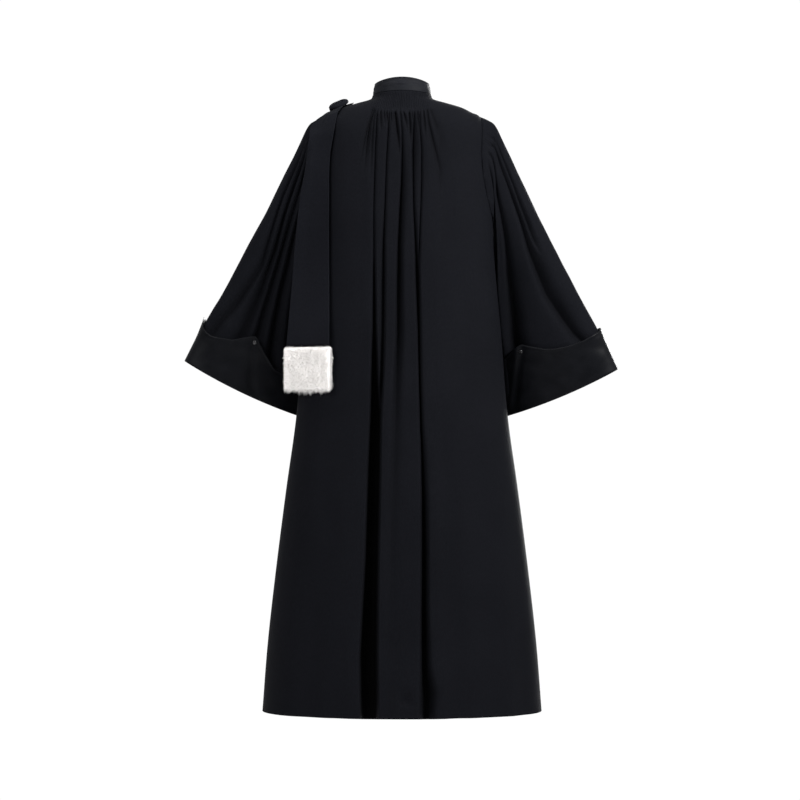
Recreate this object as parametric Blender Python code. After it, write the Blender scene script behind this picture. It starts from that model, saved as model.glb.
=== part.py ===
"""A judicial robe with its stole, filled out as it is worn, with nobody in it.

Metres, +Z up. The origin is midway between the shoulders, level with the neck points,
where the robe rests on its wearer. +Y is the way the wearer faces and +X is their right,
so the pleated back looks along -Y. Tables are in millimetres and degrees.
"""

import bisect
import math

import bmesh
import bpy
from mathutils import Matrix, Vector
from mathutils.bvhtree import BVHTree

MM = 0.001

# Walls and gaps, in metres
CLOTH = 1.5 * MM
COLLAR_WALL = 2.4 * MM
CUFF_WALL = 1.8 * MM
STOLE_WALL = 1.8 * MM
SEAM = 0.3 * MM

WOOL = ("black wool", (0.012, 0.012, 0.015), 0.85, 0.0)
SATIN = ("black satin", (0.010, 0.010, 0.011), 0.38, 0.0)
FUR = ("white fur", (0.82, 0.80, 0.77), 0.95, 0.0)
HORN = ("black horn", (0.02, 0.02, 0.022), 0.3, 0.0)


def table(columns, *rows):
    """Rows of numbers as dictionaries with the named columns."""
    return [dict(zip(columns.split(), row)) for row in rows]


# Rings of the body from the neck seam to the hem. A ring is a rounded oval through its
# side, back and front points, which lie at different heights.
BODY = table(
    "side_z half_width back_z back_depth front_z front_depth square",
    (10, 64, 14, 61, -34, 62, 2.0),
    (0, 70.5, 2, 67, -46, 68, 2.0),
    (-8, 99, -16, 78, -68, 80, 2.1),
    (-17.5, 131, -36, 90, -95, 93, 2.2),
    (-28.5, 153, -58, 99, -125, 104, 2.25),
    (-39, 172, -85, 105, -155, 114, 2.3),
    (-75, 184, -115, 109, -180, 122, 2.3),
    (-120, 190, -150, 112, -205, 127, 2.3),
    (-170, 195, -190, 115, -230, 129, 2.3),
    (-220, 198, -232, 117, -255, 130, 2.3),
    (-270, 200, -275, 119, -288, 131, 2.3),
    (-352, 203, -352, 121, -356, 132, 2.3),
    (-517, 218, -517, 127, -517, 136, 2.3),
    (-691, 232, -691, 137, -691, 145, 2.3),
    (-858, 255, -858, 148, -858, 153, 2.3),
    (-1030, 277, -1030, 158, -1030, 162, 2.25),
    (-1190, 295, -1190, 168, -1190, 169, 2.2),
    (-1342, 307, -1342, 178, -1342, 176, 2.2),
)
SHOULDER_ROW = 5
UNDERARM_ROW = 10
SEAM_BEHIND = 8 * MM
BACK_SCYE = 57 * MM
FRONT_SCYE = 64 * MM

# Rows of points: the pleated strip under the collar, then the rest of the panel. The back
# and each front are two solids, which meet at a row level with the hips.
PLEATED_ROWS = (0, 0.8, 1.7, 2.5)
SCYE_ROWS = (5, 5.35, 5.7, 6.2, 7, 8, 9, 9.6, 10)
LOWER_ROWS = (3, 4, *SCYE_ROWS, 11, 12, 13, 14, 15.5, 17)
BACK_HIP_ROW = 13
FRONT_HIP_ROW = 12.6
BACK_ROWS = sorted((*PLEATED_ROWS, *LOWER_ROWS))
FRONT_ROWS = sorted((*BACK_ROWS, FRONT_HIP_ROW))

# The gathered middle of the back: its two edges at each height
GATHERED = table(
    "z left right",
    (14, -58, 57),
    (-26, -70, 61),
    (-60, -76, 66),
    (-250, -80, 70),
    (-790, -84, 72),
    (-1342, -98, 80),
)
GATHERS = 13
GATHER_DEPTH = table("z deep", (-14, 0), (-36, 4.6), (-90, 5.0), (-190, 2.4), (-330, 0))
FINE_PLEATS = 52
FINE_PLEAT_RISE = 0.8 * MM
SIDE_COLUMNS = 6

# The folds that run on down the back: where each lies, how deep it is, and how far it
# reaches to its left and right, at several heights
BACK_FOLDS = (
    table(
        "z x deep left right",
        (-16, -55, 0, 5, 5),
        (-60, -57, 3, 5, 5),
        (-250, -59, 9, 4, 5),
        (-500, -60, 14, 5, 6),
        (-790, -57, 30, 11, 12),
        (-1342, -71, 40, 17, 18),
    ),
    table(
        "z x deep left right",
        (-16, -31, 0, 5, 5),
        (-60, -32, 3, 5, 5),
        (-250, -37, 9, 4, 5),
        (-500, -39, 12, 5, 6),
        (-690, -44, 0, 6, 6),
        (-1342, -44, 0, 6, 6),
    ),
    table(
        "z x deep left right",
        (-16, 0, 0, 5, 5),
        (-60, 0, 3, 5, 5),
        (-250, -2, 10, 5, 6),
        (-500, -7, 11, 8, 8),
        (-790, -24, 4, 14, 14),
        (-1342, -30, 0, 18, 18),
    ),
    table(
        "z x deep left right",
        (-16, 24, 0, 5, 5),
        (-60, 24, 3, 5, 5),
        (-250, 26, 10, 5, 5),
        (-500, 36, 15, 5, 6),
        (-790, 43, 20, 5, 8),
        (-1342, 47, 28, 6, 13),
    ),
    table(
        "z x deep left right",
        (-16, 43, 0, 5, 5),
        (-60, 43, 3, 5, 5),
        (-250, 41, 8, 4, 5),
        (-480, 40, 0, 5, 5),
        (-790, 43, 0, 6, 6),
        (-1342, 47, 0, 6, 6),
    ),
)

# Soft flutes, the same on both fronts: how far from the middle each lies. The closing
# lies on a flat run beside the middle.
FRONT_COLUMNS = 9
FRONT_FLAT = 20
FRONT_FLUTES = (
    table("z x deep left right", (-250, 72, 2, 24, 24), (-1342, 95, 14, 30, 30)),
    table("z x deep left right", (-290, 122, 2, 22, 22), (-1342, 195, 12, 30, 30)),
)

# Cross-sections of the right sleeve from the armhole to the mouth: the outer edge, the
# inner edge beside the body, how far it bulges each way and how far its middle hangs
SLEEVE = table(
    "out_x out_y out_z in_x in_y in_z back front hang",
    (173, 0, -39, 201, 0, -271, 57, 64, 0),
    (192, 0, -46.5, 206, 14, -288, 60, 65, 0),
    (207, 1, -61, 204, 30, -310, 62, 65, 0),
    (226, 3, -99, 197, 50, -345, 62, 64, 0),
    (270, 8, -190, 192, 68, -400, 60, 62, 0),
    (314, 13, -281, 191, 84, -455, 58, 60, 0),
    (360, 18, -370, 195, 97, -515, 56, 60, 0),
    (399, 23, -444, 200, 107, -570, 55, 60, 2),
    (433, 27, -505, 203, 114, -625, 55, 60, 5),
    (476, 32, -591, 205, 121, -703, 56, 62, 9),
)
SLEEVE_MOUTH = 9
SLEEVE_CLEAR = 4 * MM
SLEEVE_SEAM = 0.5 * MM
UNDERARM_Z = -272
# The left sleeve's outer edge is swung up a little: added at its mouth
LEFT_SWING = {"out_x": 3, "out_z": 18, "hang": 1}
SLEEVE_HEAD_ROWS = (0, 0.6, 1.3, 2)
SLEEVE_ROWS = (2.7, 3.5, 4.3, 5.2, 6.2, 7.2, 8.1, 9)
HEAD_PLEAT_RISE = 0.8 * MM
HEAD_PLEATS_TO = 118

# Sleeve folds at the head, the elbow and the mouth. Angles go round from the outer edge,
# over the back to the inner edge at 180, and on round the front.
FRONT_SLEEVE_FOLDS = (
    table("angle deep wide", (230, 3, 9), (222, 9, 12), (220, 8, 12)),
    table("angle deep wide", (270, 4, 8), (258, 11, 11), (252, 10, 12)),
    table("angle deep wide", (310, 4, 7), (290, 11, 9), (296, 10, 11)),
)
SLEEVE_FOLDS = {
    "right": (
        table("angle deep wide", (36, 4, 6), (45, 7, 8), (52, 0, 8)),
        table("angle deep wide", (55, 4, 7), (75, 13, 9), (60, 9, 11)),
        table("angle deep wide", (82, 4, 8), (102, 4, 10), (100, 3, 12)),
        table("angle deep wide", (108, 4, 8), (134, 11, 12), (150, 11, 13)),
        *FRONT_SLEEVE_FOLDS,
    ),
    "left": (
        table("angle deep wide", (40, 4, 6), (60, 8, 8), (43, 7, 10)),
        table("angle deep wide", (58, 4, 6), (71, 11, 7), (71, 12, 8)),
        table("angle deep wide", (76, 4, 6), (88, 10, 7), (90, 10, 8)),
        table("angle deep wide", (96, 4, 7), (110, 12, 8), (114, 9, 9)),
        table("angle deep wide", (118, 3, 8), (138, 9, 10), (146, 8, 12)),
        *FRONT_SLEEVE_FOLDS,
    ),
}

# The top edge of each turned-back cuff, as a place between the sleeve's sections
CUFF_EDGE = {
    "right": table(
        "angle place",
        (0, 8.04),
        (69, 8.04),
        (89, 7.85),
        (111, 7.14),
        (135, 7.12),
        (180, 7.2),
        (270, 7.9),
        (360, 8.04),
    ),
    "left": table(
        "angle place",
        (0, 8.12),
        (46, 8.23),
        (62, 8.06),
        (85, 7.47),
        (98, 7.8),
        (111, 8.1),
        (180, 8.1),
        (270, 8.2),
        (360, 8.12),
    ),
}
CUFF_PEAK_COLUMN = {"right": 11, "left": 9}
CUFF_GAP = 0.8 * MM
CUFF_STAND = 5 * MM
CUFF_STEPS = 4
STUD_RADIUS = 5 * MM
STUD_THICK = 3 * MM
STUD_DOWN = 0.1

# The collar's top edge, and how much its front corners are rounded
COLLAR_TOP = {"half_width": 57.5, "back": 55, "front": 57}
COLLAR_TOP_Z = {"side": 35, "back": 45, "front": -4}
COLLAR_LIFT = 0.8 * MM
COLLAR_OPEN = 2.2
COLLAR_END_STEPS = (0, 3, 7)
COLLAR_CORNER = 9

PLACKET_HALF = 17 * MM
PLACKET_WALL = 1.6 * MM
PLACKET_GAP = 0.5 * MM
BUTTONS = 12
BUTTON_FIRST_Z = -80
BUTTON_PITCH = 98
BUTTON_RADIUS = 6.5 * MM
BUTTON_THICK = 3 * MM

# The stole's strips, over the shoulder and down. Near the shoulder a row gives its
# distance along Y, and its height comes from the robe under it. The hanging rows give
# a height, and lie against the robe or hang plumb from the row above.
STOLE_BACK_OVER = table(
    "left right y_left y_right",
    (-163, -121, 0, 0),
    (-174, -123, -9, -10),
    (-183, -127, -17, -22),
    (-190, -131, -22, -35),
    (-196, -136, -27, -48),
    (-200, -141, -31, -60),
)
STOLE_BACK_DOWN = table(
    "left right z_left z_right",
    (-202, -147, -84, -74),
    (-204, -151, -102, -98),
    (-206, -155, -122, -122),
    (-209, -157, -146, -146),
    (-213, -158, -172, -172),
    (-221, -158, -215, -215),
    (-231, -158, -305, -305),
    (-241, -157, -425, -425),
    (-251, -157, -538, -538),
)
STOLE_FRONT_OVER = table(
    "left right y_left y_right",
    (-163, -106, 0.3, 0.3),
    (-165, -110, 10, 14),
    (-167, -114, 19, 29),
    (-168, -117, 27, 43),
    (-169, -119, 34, 56),
    (-170, -120, 40, 68),
)
STOLE_FRONT_DOWN = table(
    "left right z_left z_right",
    (-171, -120, -92, -86),
    (-172, -120, -112, -112),
    (-173, -119, -138, -138),
    (-174, -118, -170, -170),
    (-175, -115, -235, -235),
    (-176, -111, -310, -310),
    (-177, -106, -385, -385),
)
STOLE_COLUMNS = 6
STOLE_LIFT = 2.2 * MM
STOLE_STAND = 4 * MM
STOLE_END_STAND = 11 * MM
FUR_PILE = 8 * MM
FUR_THICK = 18 * MM
FUR_BACK_HEIGHT = 104 * MM
FUR_FRONT_HEIGHT = 80 * MM
ROSETTE_CENTRE = (-139, -3, -10.2)
ROSETTE_LEAN = 22
ROSETTE_TIP = 9
# The rosette's turned profile: a domed rim round a sunk middle with a button in it
ROSETTE_PROFILE = table(
    "radius z",
    (0, -3.6),
    (19, -3.6),
    (22.4, -2),
    (23, 0.6),
    (21, 3.4),
    (17, 4.2),
    (12, 3),
    (10, 3.2),
    (6, 4.6),
    (0, 5),
)
ROSETTE_SEGMENTS = 24


def at(rows, column, place):
    """The column's value at a fractional row, on a smooth curve through the rows."""
    last = len(rows) - 1
    i = min(max(math.floor(place), 0), last - 1)
    t = place - i
    start, end = rows[i][column], rows[i + 1][column]
    before = rows[i - 1][column] if i > 0 else 2 * start - end
    after = rows[i + 2][column] if i + 2 <= last else 2 * end - start
    leave, arrive = (end - before) / 2, (after - start) / 2
    return (
        (2 * t**3 - 3 * t**2 + 1) * start
        + (t**3 - 2 * t**2 + t) * leave
        + (3 * t**2 - 2 * t**3) * end
        + (t**3 - t**2) * arrive
    )


def place_of(rows, column, value):
    """The fractional row where a steadily rising or falling column reaches the value."""
    for i in range(len(rows) - 1):
        share = (value - rows[i][column]) / (rows[i + 1][column] - rows[i][column])
        if share < 1:
            return i + max(share, 0)
    return len(rows) - 1


def straight(rows, column, place):
    """The column's value at a fractional row, on straight lines between the rows."""
    i = min(int(place), len(rows) - 2)
    t = place - i
    return rows[i][column] * (1 - t) + rows[i + 1][column] * t


def signed_power(value, power):
    return math.copysign(abs(value) ** power, value)


def ease(t):
    t = min(max(t, 0), 1)
    return t * t * (3 - 2 * t)


# The body


def body_smooth(row, angle):
    """A point of the robe without its folds. Angle 0 is the back, positive to +X."""
    across, along = math.sin(angle), math.cos(angle)
    half = "back" if along > 0 else "front"
    power = 2 / at(BODY, "square", row)
    side_z = at(BODY, "side_z", row)
    return MM * Vector(
        (
            at(BODY, "half_width", row) * signed_power(across, power),
            -at(BODY, half + "_depth", row) * signed_power(along, power),
            side_z + (at(BODY, half + "_z", row) - side_z) * along**2,
        )
    )


def body_normal(row, angle):
    """The outward direction of the smooth body."""
    step = 0.01
    down = body_smooth(row + step, angle) - body_smooth(row - step, angle)
    around = body_smooth(row, angle + step) - body_smooth(row, angle - step)
    return down.cross(around).normalized()


def angle_at_depth(row, y):
    """The angle from the nearer of back and front at which a ring is y from its middle."""
    half = "back" if y < 0 else "front"
    share = min(abs(y) / (MM * at(BODY, half + "_depth", row)), 1)
    return math.acos(share ** (at(BODY, "square", row) / 2))


def angle_at_width(row, x):
    """The angle from the back or front at which a ring is x from the centre line."""
    share = min(abs(x) / at(BODY, "half_width", row), 1)
    return math.copysign(math.asin(share ** (at(BODY, "square", row) / 2)), x)


def scye_width(row):
    """How wide the armhole is at a row, as a share of its widest."""
    top, bottom = BODY[SHOULDER_ROW]["side_z"], BODY[UNDERARM_ROW]["side_z"]
    fall = min(max((at(BODY, "side_z", row) - top) / (bottom - top), 0), 1)
    return 2 * math.sqrt(fall * (1 - fall))


def back_edge(row):
    """The angle where the back panel ends: the shoulder seam, armhole or side seam."""
    if row <= SHOULDER_ROW:
        return angle_at_depth(row, -SEAM_BEHIND - SEAM / 2)
    if row < UNDERARM_ROW:
        return angle_at_depth(row, -max(SEAM / 2, BACK_SCYE * scye_width(row)))
    return angle_at_depth(row, -SEAM / 2)


def front_edge(row):
    """The angle where a front panel begins."""
    if row <= SHOULDER_ROW:
        return angle_at_depth(row, -SEAM_BEHIND + SEAM / 2)
    if row < UNDERARM_ROW:
        return math.pi - angle_at_depth(row, max(SEAM / 2, FRONT_SCYE * scye_width(row)))
    return math.pi - angle_at_depth(row, SEAM / 2)


def trough(fold, x, z):
    """How deep a fold is at x, z, in millimetres."""
    place = place_of(fold, "z", z)
    off = x - straight(fold, "x", place)
    reach = straight(fold, "left" if off < 0 else "right", place)
    return straight(fold, "deep", place) * math.exp(-((abs(off) / reach) ** 3))


def gather(x, z):
    """The depth of the regular gathers that fall from the pleated strip."""
    place = place_of(GATHERED, "z", z)
    left, right = (straight(GATHERED, side, place) for side in ("left", "right"))
    phase = (x - left) / (right - left) * GATHERS
    if not 0 < phase < GATHERS:
        return 0
    deep = straight(GATHER_DEPTH, "deep", place_of(GATHER_DEPTH, "z", z))
    return deep * (1 - math.cos(2 * math.pi * phase)) / 2


def back_point(row, angle):
    point = body_smooth(row, angle)
    x, z = point.x / MM, point.z / MM
    deep = gather(x, z) + max(trough(fold, x, z) for fold in BACK_FOLDS)
    return point + Vector((0, deep * MM, 0))


def front_point(row, angle):
    point = body_smooth(row, angle)
    x, z = abs(point.x) / MM, point.z / MM
    deep = max(trough(fold, x, z) for fold in FRONT_FLUTES) if z < FRONT_FLUTES[0][0]["z"] else 0
    share = ease((abs(angle) - math.pi / 2) / (math.pi / 8))
    return point - Vector((0, deep * share * MM, 0))


def back_angles(row, steps_per_column):
    """The angles of a row of the back panel: two plain sides and the gathered middle."""
    z = at(BODY, "back_z", row)
    place = place_of(GATHERED, "z", z)
    left = angle_at_width(row, straight(GATHERED, "left", place))
    right = angle_at_width(row, straight(GATHERED, "right", place))
    x_left, x_right = (straight(GATHERED, side, place) for side in ("left", "right"))
    edge = back_edge(row)
    sides = SIDE_COLUMNS * steps_per_column
    middle = 4 * GATHERS * steps_per_column
    angles = [-edge + (left + edge) * i / sides for i in range(sides)]
    for i in range(middle + 1):
        angles.append(angle_at_width(row, x_left + (x_right - x_left) * i / middle))
    angles += [right + (edge - right) * i / sides for i in range(1, sides + 1)]
    return angles


# Walls from rows of points


def neighbours(rows, i, j, closed):
    """The points beside rows[i][j] along its row and across to the rows next to it."""
    row = rows[i]
    size = len(row)
    if closed:
        along = row[(j + 1) % size] - row[j - 1]
    else:
        along = row[min(j + 1, size - 1)] - row[max(j - 1, 0)]
    above, below = rows[max(i - 1, 0)], rows[min(i + 1, len(rows) - 1)]
    return along, below[j * len(below) // size] - above[j * len(above) // size]


def normals_of(rows, closed=False):
    """A direction for each point, square to the sheet that the rows make."""
    found = []
    for i, row in enumerate(rows):
        line = []
        for j in range(len(row)):
            along, down = neighbours(rows, i, j, closed)
            line.append(down.cross(along).normalized())
        found.append(line)
    return found


def moved(rows, normals, distance):
    """The rows moved along their normals, by a number or by one for each point."""
    return [
        [
            point + normal * (distance(i, j) if callable(distance) else distance)
            for j, (point, normal) in enumerate(zip(row, normals[i]))
        ]
        for i, row in enumerate(rows)
    ]


def strip_between(bm, upper, lower, closed):
    """Faces between two rows, the upper of which may have twice as many steps."""
    steps = len(lower) if closed else len(lower) - 1
    double = len(upper) > len(lower)
    for j in range(steps):
        right = (j + 1) % len(lower)
        if not double:
            bm.faces.new((upper[j], lower[j], lower[right], upper[right]))
            continue
        middle, end = upper[2 * j + 1], upper[(2 * j + 2) % len(upper)]
        bm.faces.new((upper[2 * j], lower[j], middle))
        bm.faces.new((middle, lower[j], lower[right]))
        bm.faces.new((middle, lower[right], end))


def rim_between(bm, outer, inner, closed):
    """The narrow faces that close a wall along one of its edges."""
    steps = len(outer) if closed else len(outer) - 1
    for j in range(steps):
        k = (j + 1) % len(outer)
        bm.faces.new((outer[j], outer[k], inner[k]))
        bm.faces.new((outer[j], inner[k], inner[j]))


def wall(name, finish, outer_rows, inner_rows, closed=False):
    """A closed wall between an outer and an inner sheet, each given as rows of points."""
    bm = bmesh.new()
    outer = [[bm.verts.new(point) for point in row] for row in outer_rows]
    inner = [[bm.verts.new(point) for point in row] for row in inner_rows]
    for upper, lower in zip(outer, outer[1:]):
        strip_between(bm, upper, lower, closed)
    for upper, lower in zip(inner, inner[1:]):
        strip_between(bm, upper, lower, closed)
    rim_between(bm, outer[0], inner[0], closed)
    rim_between(bm, outer[-1], inner[-1], closed)
    if not closed:
        for end in (0, -1):
            edge = [row[end] for row in outer]
            rim_between(bm, edge, [row[end] for row in inner], False)
    return finished(name, finish, bm)


def material(finish):
    name, colour, roughness, metallic = finish
    found = bpy.data.materials.get(name)
    if found:
        return found
    made = bpy.data.materials.new(name)
    made.use_nodes = True
    shader = made.node_tree.nodes["Principled BSDF"]
    shader.inputs["Base Color"].default_value = (*colour, 1)
    shader.inputs["Roughness"].default_value = roughness
    shader.inputs["Metallic"].default_value = metallic
    return made


def finished(name, finish, bm):
    """The bmesh as an object with its faces turned outwards."""
    bmesh.ops.recalc_face_normals(bm, faces=bm.faces)
    if bm.calc_volume(signed=True) < 0:
        bmesh.ops.reverse_faces(bm, faces=bm.faces)
    mesh = bpy.data.meshes.new(name)
    bm.to_mesh(mesh)
    bm.free()
    mesh.shade_smooth()
    mesh.set_sharp_from_angle(angle=math.radians(50))
    mesh.materials.append(material(finish))
    made = bpy.data.objects.new(name, mesh)
    bpy.context.scene.collection.objects.link(made)
    return made


# The panels


def shifted(row, rise):
    return [point + Vector((0, 0, rise)) for point in row]


def panel(name, outer, inner, join):
    """A panel down to the hips, and its skirt below."""
    above = [[*sheet[:join], shifted(sheet[join], SEAM / 2)] for sheet in (outer, inner)]
    below = [[shifted(sheet[join], -SEAM / 2), *sheet[join + 1 :]] for sheet in (outer, inner)]
    wall(f"{name}_skirt", WOOL, *below)
    return wall(name, WOOL, *above)


def make_back():
    rows, edge_normals = [], []
    for row in BACK_ROWS:
        angles = back_angles(row, 2 if row in PLEATED_ROWS else 1)
        rows.append([back_point(row, angle) for angle in angles])
        edge_normals.append([body_normal(row, angles[0]), body_normal(row, angles[-1])])
    normals = normals_of(rows)
    for line, (left, right) in zip(normals, edge_normals):
        line[0], line[-1] = left, right

    pleats_from = 2 * SIDE_COLUMNS
    pleats_to = pleats_from + 2 * FINE_PLEATS

    def rise(i, j):
        stitched = i < len(PLEATED_ROWS) and pleats_from < j < pleats_to
        return FINE_PLEAT_RISE if stitched and (j - pleats_from) % 2 else 0

    outer = moved(rows, normals, rise)
    inner = moved(rows, normals, -CLOTH)
    return panel("back", outer, inner, BACK_ROWS.index(BACK_HIP_ROW))


def front_angles(row):
    """From the edge by the back to the centre front, with a flat run by the closing."""
    edge = front_edge(row)
    half_width = at(BODY, "half_width", row)
    middle = math.pi - math.asin(SEAM / 2 / MM / half_width)
    beside = math.pi - angle_at_width(row, FRONT_FLAT)
    spread = [edge + (beside - edge) * i / FRONT_COLUMNS for i in range(FRONT_COLUMNS)]
    return [*spread, beside, middle]


def front_rows(sign):
    rows, normals = [], []
    for row in FRONT_ROWS:
        angles = front_angles(row)
        rows.append([front_point(row, sign * angle) for angle in angles])
        normals.append([body_normal(row, sign * angle) for angle in angles])
    sheet = normals_of(rows)
    for line, exact in zip(sheet, normals):
        if line[1].dot(exact[1]) < 0:
            line[:] = [-n for n in line]
        line[0], line[-1] = exact[0], exact[-1]
    return rows, sheet


def make_front(name, sign):
    rows, normals = front_rows(sign)
    inner = moved(rows, normals, -CLOTH)
    return panel(name, rows, inner, FRONT_ROWS.index(FRONT_HIP_ROW))


def placket_row(left_row, right_row):
    """Five points across the closing, on the straight runs between the panels' points."""
    middle = (left_row[-1] + right_row[-1]) / 2
    points = []
    for share in (-1, -0.5, 0, 0.5, 1):
        beside = (left_row if share < 0 else right_row)[-2]
        reach = abs(share) * PLACKET_HALF / max(abs(beside.x), PLACKET_HALF)
        points.append(middle.lerp(beside, reach))
    return points


def make_placket():
    left, right = front_rows(-1)[0], front_rows(1)[0]
    rows = [placket_row(a, b) for a, b in zip(left, right)]
    rows[0] = [a.lerp(b, 0.4) for a, b in zip(rows[0], rows[1])]
    normals = normals_of(rows)
    normals = [[n if n.y > 0 else -n for n in line] for line in normals]
    level = [[line[2]] * len(line) for line in normals]
    inner = moved(rows, level, PLACKET_GAP)
    outer = moved(rows, level, PLACKET_GAP + PLACKET_WALL)
    wall("placket", WOOL, outer, inner)
    return outer


def button_mesh():
    bm = bmesh.new()
    bmesh.ops.create_cone(
        bm,
        cap_ends=True,
        segments=14,
        radius1=BUTTON_RADIUS,
        radius2=BUTTON_RADIUS * 0.86,
        depth=BUTTON_THICK,
    )
    bmesh.ops.translate(bm, verts=bm.verts, vec=(0, 0, BUTTON_THICK / 2))
    top = [face for face in bm.faces if face.normal.z > 0.9]
    bmesh.ops.inset_region(bm, faces=top, thickness=1.6 * MM, depth=-0.9 * MM)
    mesh = bpy.data.meshes.new("button")
    bm.to_mesh(mesh)
    bm.free()
    mesh.shade_smooth()
    mesh.set_sharp_from_angle(angle=math.radians(40))
    mesh.materials.append(material(HORN))
    return mesh


def standing_on(point, outward):
    """The placing of a small piece whose own +Z is turned to point outward."""
    return Matrix.Translation(point) @ outward.to_track_quat("Z", "Y").to_matrix().to_4x4()


def make_buttons(placket_rows):
    mesh = button_mesh()
    line = [row[2] for row in placket_rows]
    for number in range(BUTTONS):
        z = (BUTTON_FIRST_Z - BUTTON_PITCH * number) * MM
        i = next(i for i in range(len(line) - 1) if line[i + 1].z <= z)
        share = (z - line[i].z) / (line[i + 1].z - line[i].z)
        run = line[i + 1] - line[i]
        outward = Vector((0, -run.z, run.y)).normalized()
        made = bpy.data.objects.new(f"button_{number + 1:02d}", mesh)
        made.matrix_world = standing_on(line[i] + run * share + outward * SEAM, outward)
        bpy.context.scene.collection.objects.link(made)


# The collar


def neck_angles():
    """The angles round the neck edge, from the centre front round to it again."""
    front = front_angles(0)[1:]
    return [-angle for angle in reversed(front)] + back_angles(0, 1)[::2] + front


NECK = neck_angles()


def neck_edge(angle):
    """The panels' neck edge at an angle, on the straight runs between their points."""
    i = min(max(bisect.bisect(NECK, angle) - 1, 0), len(NECK) - 2)
    share = (angle - NECK[i]) / (NECK[i + 1] - NECK[i])
    return body_smooth(0, NECK[i]).lerp(body_smooth(0, NECK[i + 1]), share)


def collar_point(angle, up):
    """A point of the collar's outer face, from its seam at up 0 to its top edge at 1."""
    seam = neck_edge(angle)
    across, along = math.sin(angle), math.cos(angle)
    half = "back" if along > 0 else "front"
    top_z = COLLAR_TOP_Z["side"] + (COLLAR_TOP_Z[half] - COLLAR_TOP_Z["side"]) * along**2
    from_end = (math.pi - abs(angle)) * COLLAR_TOP["front"]
    corner = max(0, 1 - from_end / COLLAR_CORNER)
    top_z -= COLLAR_CORNER * corner**2
    top = MM * Vector((COLLAR_TOP["half_width"] * across, -COLLAR_TOP[half] * along, top_z))
    point = (seam + Vector((0, 0, COLLAR_LIFT))).lerp(top, up)
    swell = 1 + 0.012 * math.sin(math.pi * up)
    return Vector((point.x * swell, point.y * swell, point.z))


def make_collar():
    ends = [math.pi - math.radians(COLLAR_OPEN + step) for step in COLLAR_END_STEPS]
    between = [angle for angle in NECK if abs(angle) < ends[-1] - 0.02]
    angles = [-angle for angle in ends] + between + ends[::-1]
    rows = [[collar_point(a, up) for a in angles] for up in (1, 0.5, 0)]
    flat = [[Vector((p.x, p.y, 0)).normalized() for p in row] for row in rows]
    wall("collar", SATIN, rows, moved(rows, flat, -COLLAR_WALL))


# The sleeves


def scye_ring():
    """The points of the armhole's edge on the wearer's right."""
    ring = [(row, back_edge(row)) for row in SCYE_ROWS]
    ring += [(row, front_edge(row)) for row in reversed(SCYE_ROWS[:-1])]
    return [body_smooth(*spot) for spot in ring]


SCYE = scye_ring()


def scye_at(step):
    """The armhole at a fractional step round it, on the straight runs of the panels."""
    i = min(int(step), len(SCYE) - 2)
    return SCYE[i].lerp(SCYE[i + 1], step - i)


def round_angle(step):
    """The angle round the sleeve, in degrees, of a step round the armhole."""
    half = len(SCYE) // 2
    near = step if step <= half else 2 * half - step
    top, bottom = SCYE[0].z, SCYE[half].z
    fall = min(max((top - scye_at(near).z) / (top - bottom), 0), 1)
    degrees = math.degrees(math.acos(1 - 2 * fall))
    return degrees if step <= half else 360 - degrees


def sleeve_value(side, column, place):
    value = at(SLEEVE, column, place)
    if side == "left" and column in LEFT_SWING:
        value += LEFT_SWING[column] * max(0, (place - 3) / (SLEEVE_MOUTH - 3))
    return value


def sleeve_section(side, place, angle):
    """A point of the right sleeve's cross-section, at an angle in radians."""
    across, bulge = math.cos(angle), math.sin(angle)
    outer, inner = (
        Vector([sleeve_value(side, f"{edge}_{axis}", place) for axis in "xyz"])
        for edge in ("out", "in")
    )
    point = (outer + inner) / 2 + (outer - inner) / 2 * across
    reach = sleeve_value(side, "back" if bulge > 0 else "front", place)
    point.y -= reach * bulge
    point.z -= sleeve_value(side, "hang", place) * bulge**2
    return point * MM


def beside_body(point, clear):
    """The point, moved out where it would lie less than clear from the robe's side."""
    row = place_of(BODY, "side_z", point.z / MM)
    square = at(BODY, "square", row)
    half = "back_depth" if point.y < 0 else "front_depth"
    wide, deep = (MM * at(BODY, column, row) + clear for column in ("half_width", half))
    inside = (abs(point.x) / wide) ** square + (abs(point.y) / deep) ** square
    if inside < 1:
        out = inside ** (-1 / square)
        point = Vector((point.x * out, point.y * out, point.z))
    return point


def sleeve_smooth(side, place, step):
    """The sleeve without folds, as on the wearer's right."""
    joined = ease(place / 1.6)
    edge = scye_at(step) + Vector((SLEEVE_SEAM, 0, 0))
    section = sleeve_section(side, place, math.radians(round_angle(step)))
    point = edge.lerp(section, joined)
    below = ease((UNDERARM_Z - point.z / MM) / 20)
    return point.lerp(beside_body(point, SLEEVE_CLEAR * joined), below)


def sleeve_depth(side, place, step):
    """How far the folds go in, in millimetres."""
    angle = round_angle(step)
    along = min(max((place - 1.2) / (SLEEVE_MOUTH - 1.2) * 2, 0), 2)
    begin = ease((place - 0.8) / 1.2)
    deepest = 0
    for fold in SLEEVE_FOLDS[side]:
        off = abs(angle - at(fold, "angle", along))
        reach = straight(fold, "wide", along)
        deepest = max(deepest, straight(fold, "deep", along) * math.exp(-((off / reach) ** 2)))
    return deepest * begin


def sleeve_steps(per_run):
    """Steps round the armhole, the same number for each of its straight runs."""
    runs = len(SCYE) - 1
    return [i / per_run for i in range(runs * per_run)]


def mirror_left(side, rows):
    if side == "right":
        return rows
    return [[Vector((-p.x, p.y, p.z)) for p in row] for row in rows]


def outward_of(rows):
    """Normals of closed rings, turned away from each ring's middle."""
    normals = normals_of(rows, closed=True)
    for i, row in enumerate(rows):
        middle = sum(row, Vector()) / len(row)
        away = sum(n.dot(p - middle) for n, p in zip(normals[i], row))
        if away < 0:
            normals[i] = [-n for n in normals[i]]
    return normals


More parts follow.
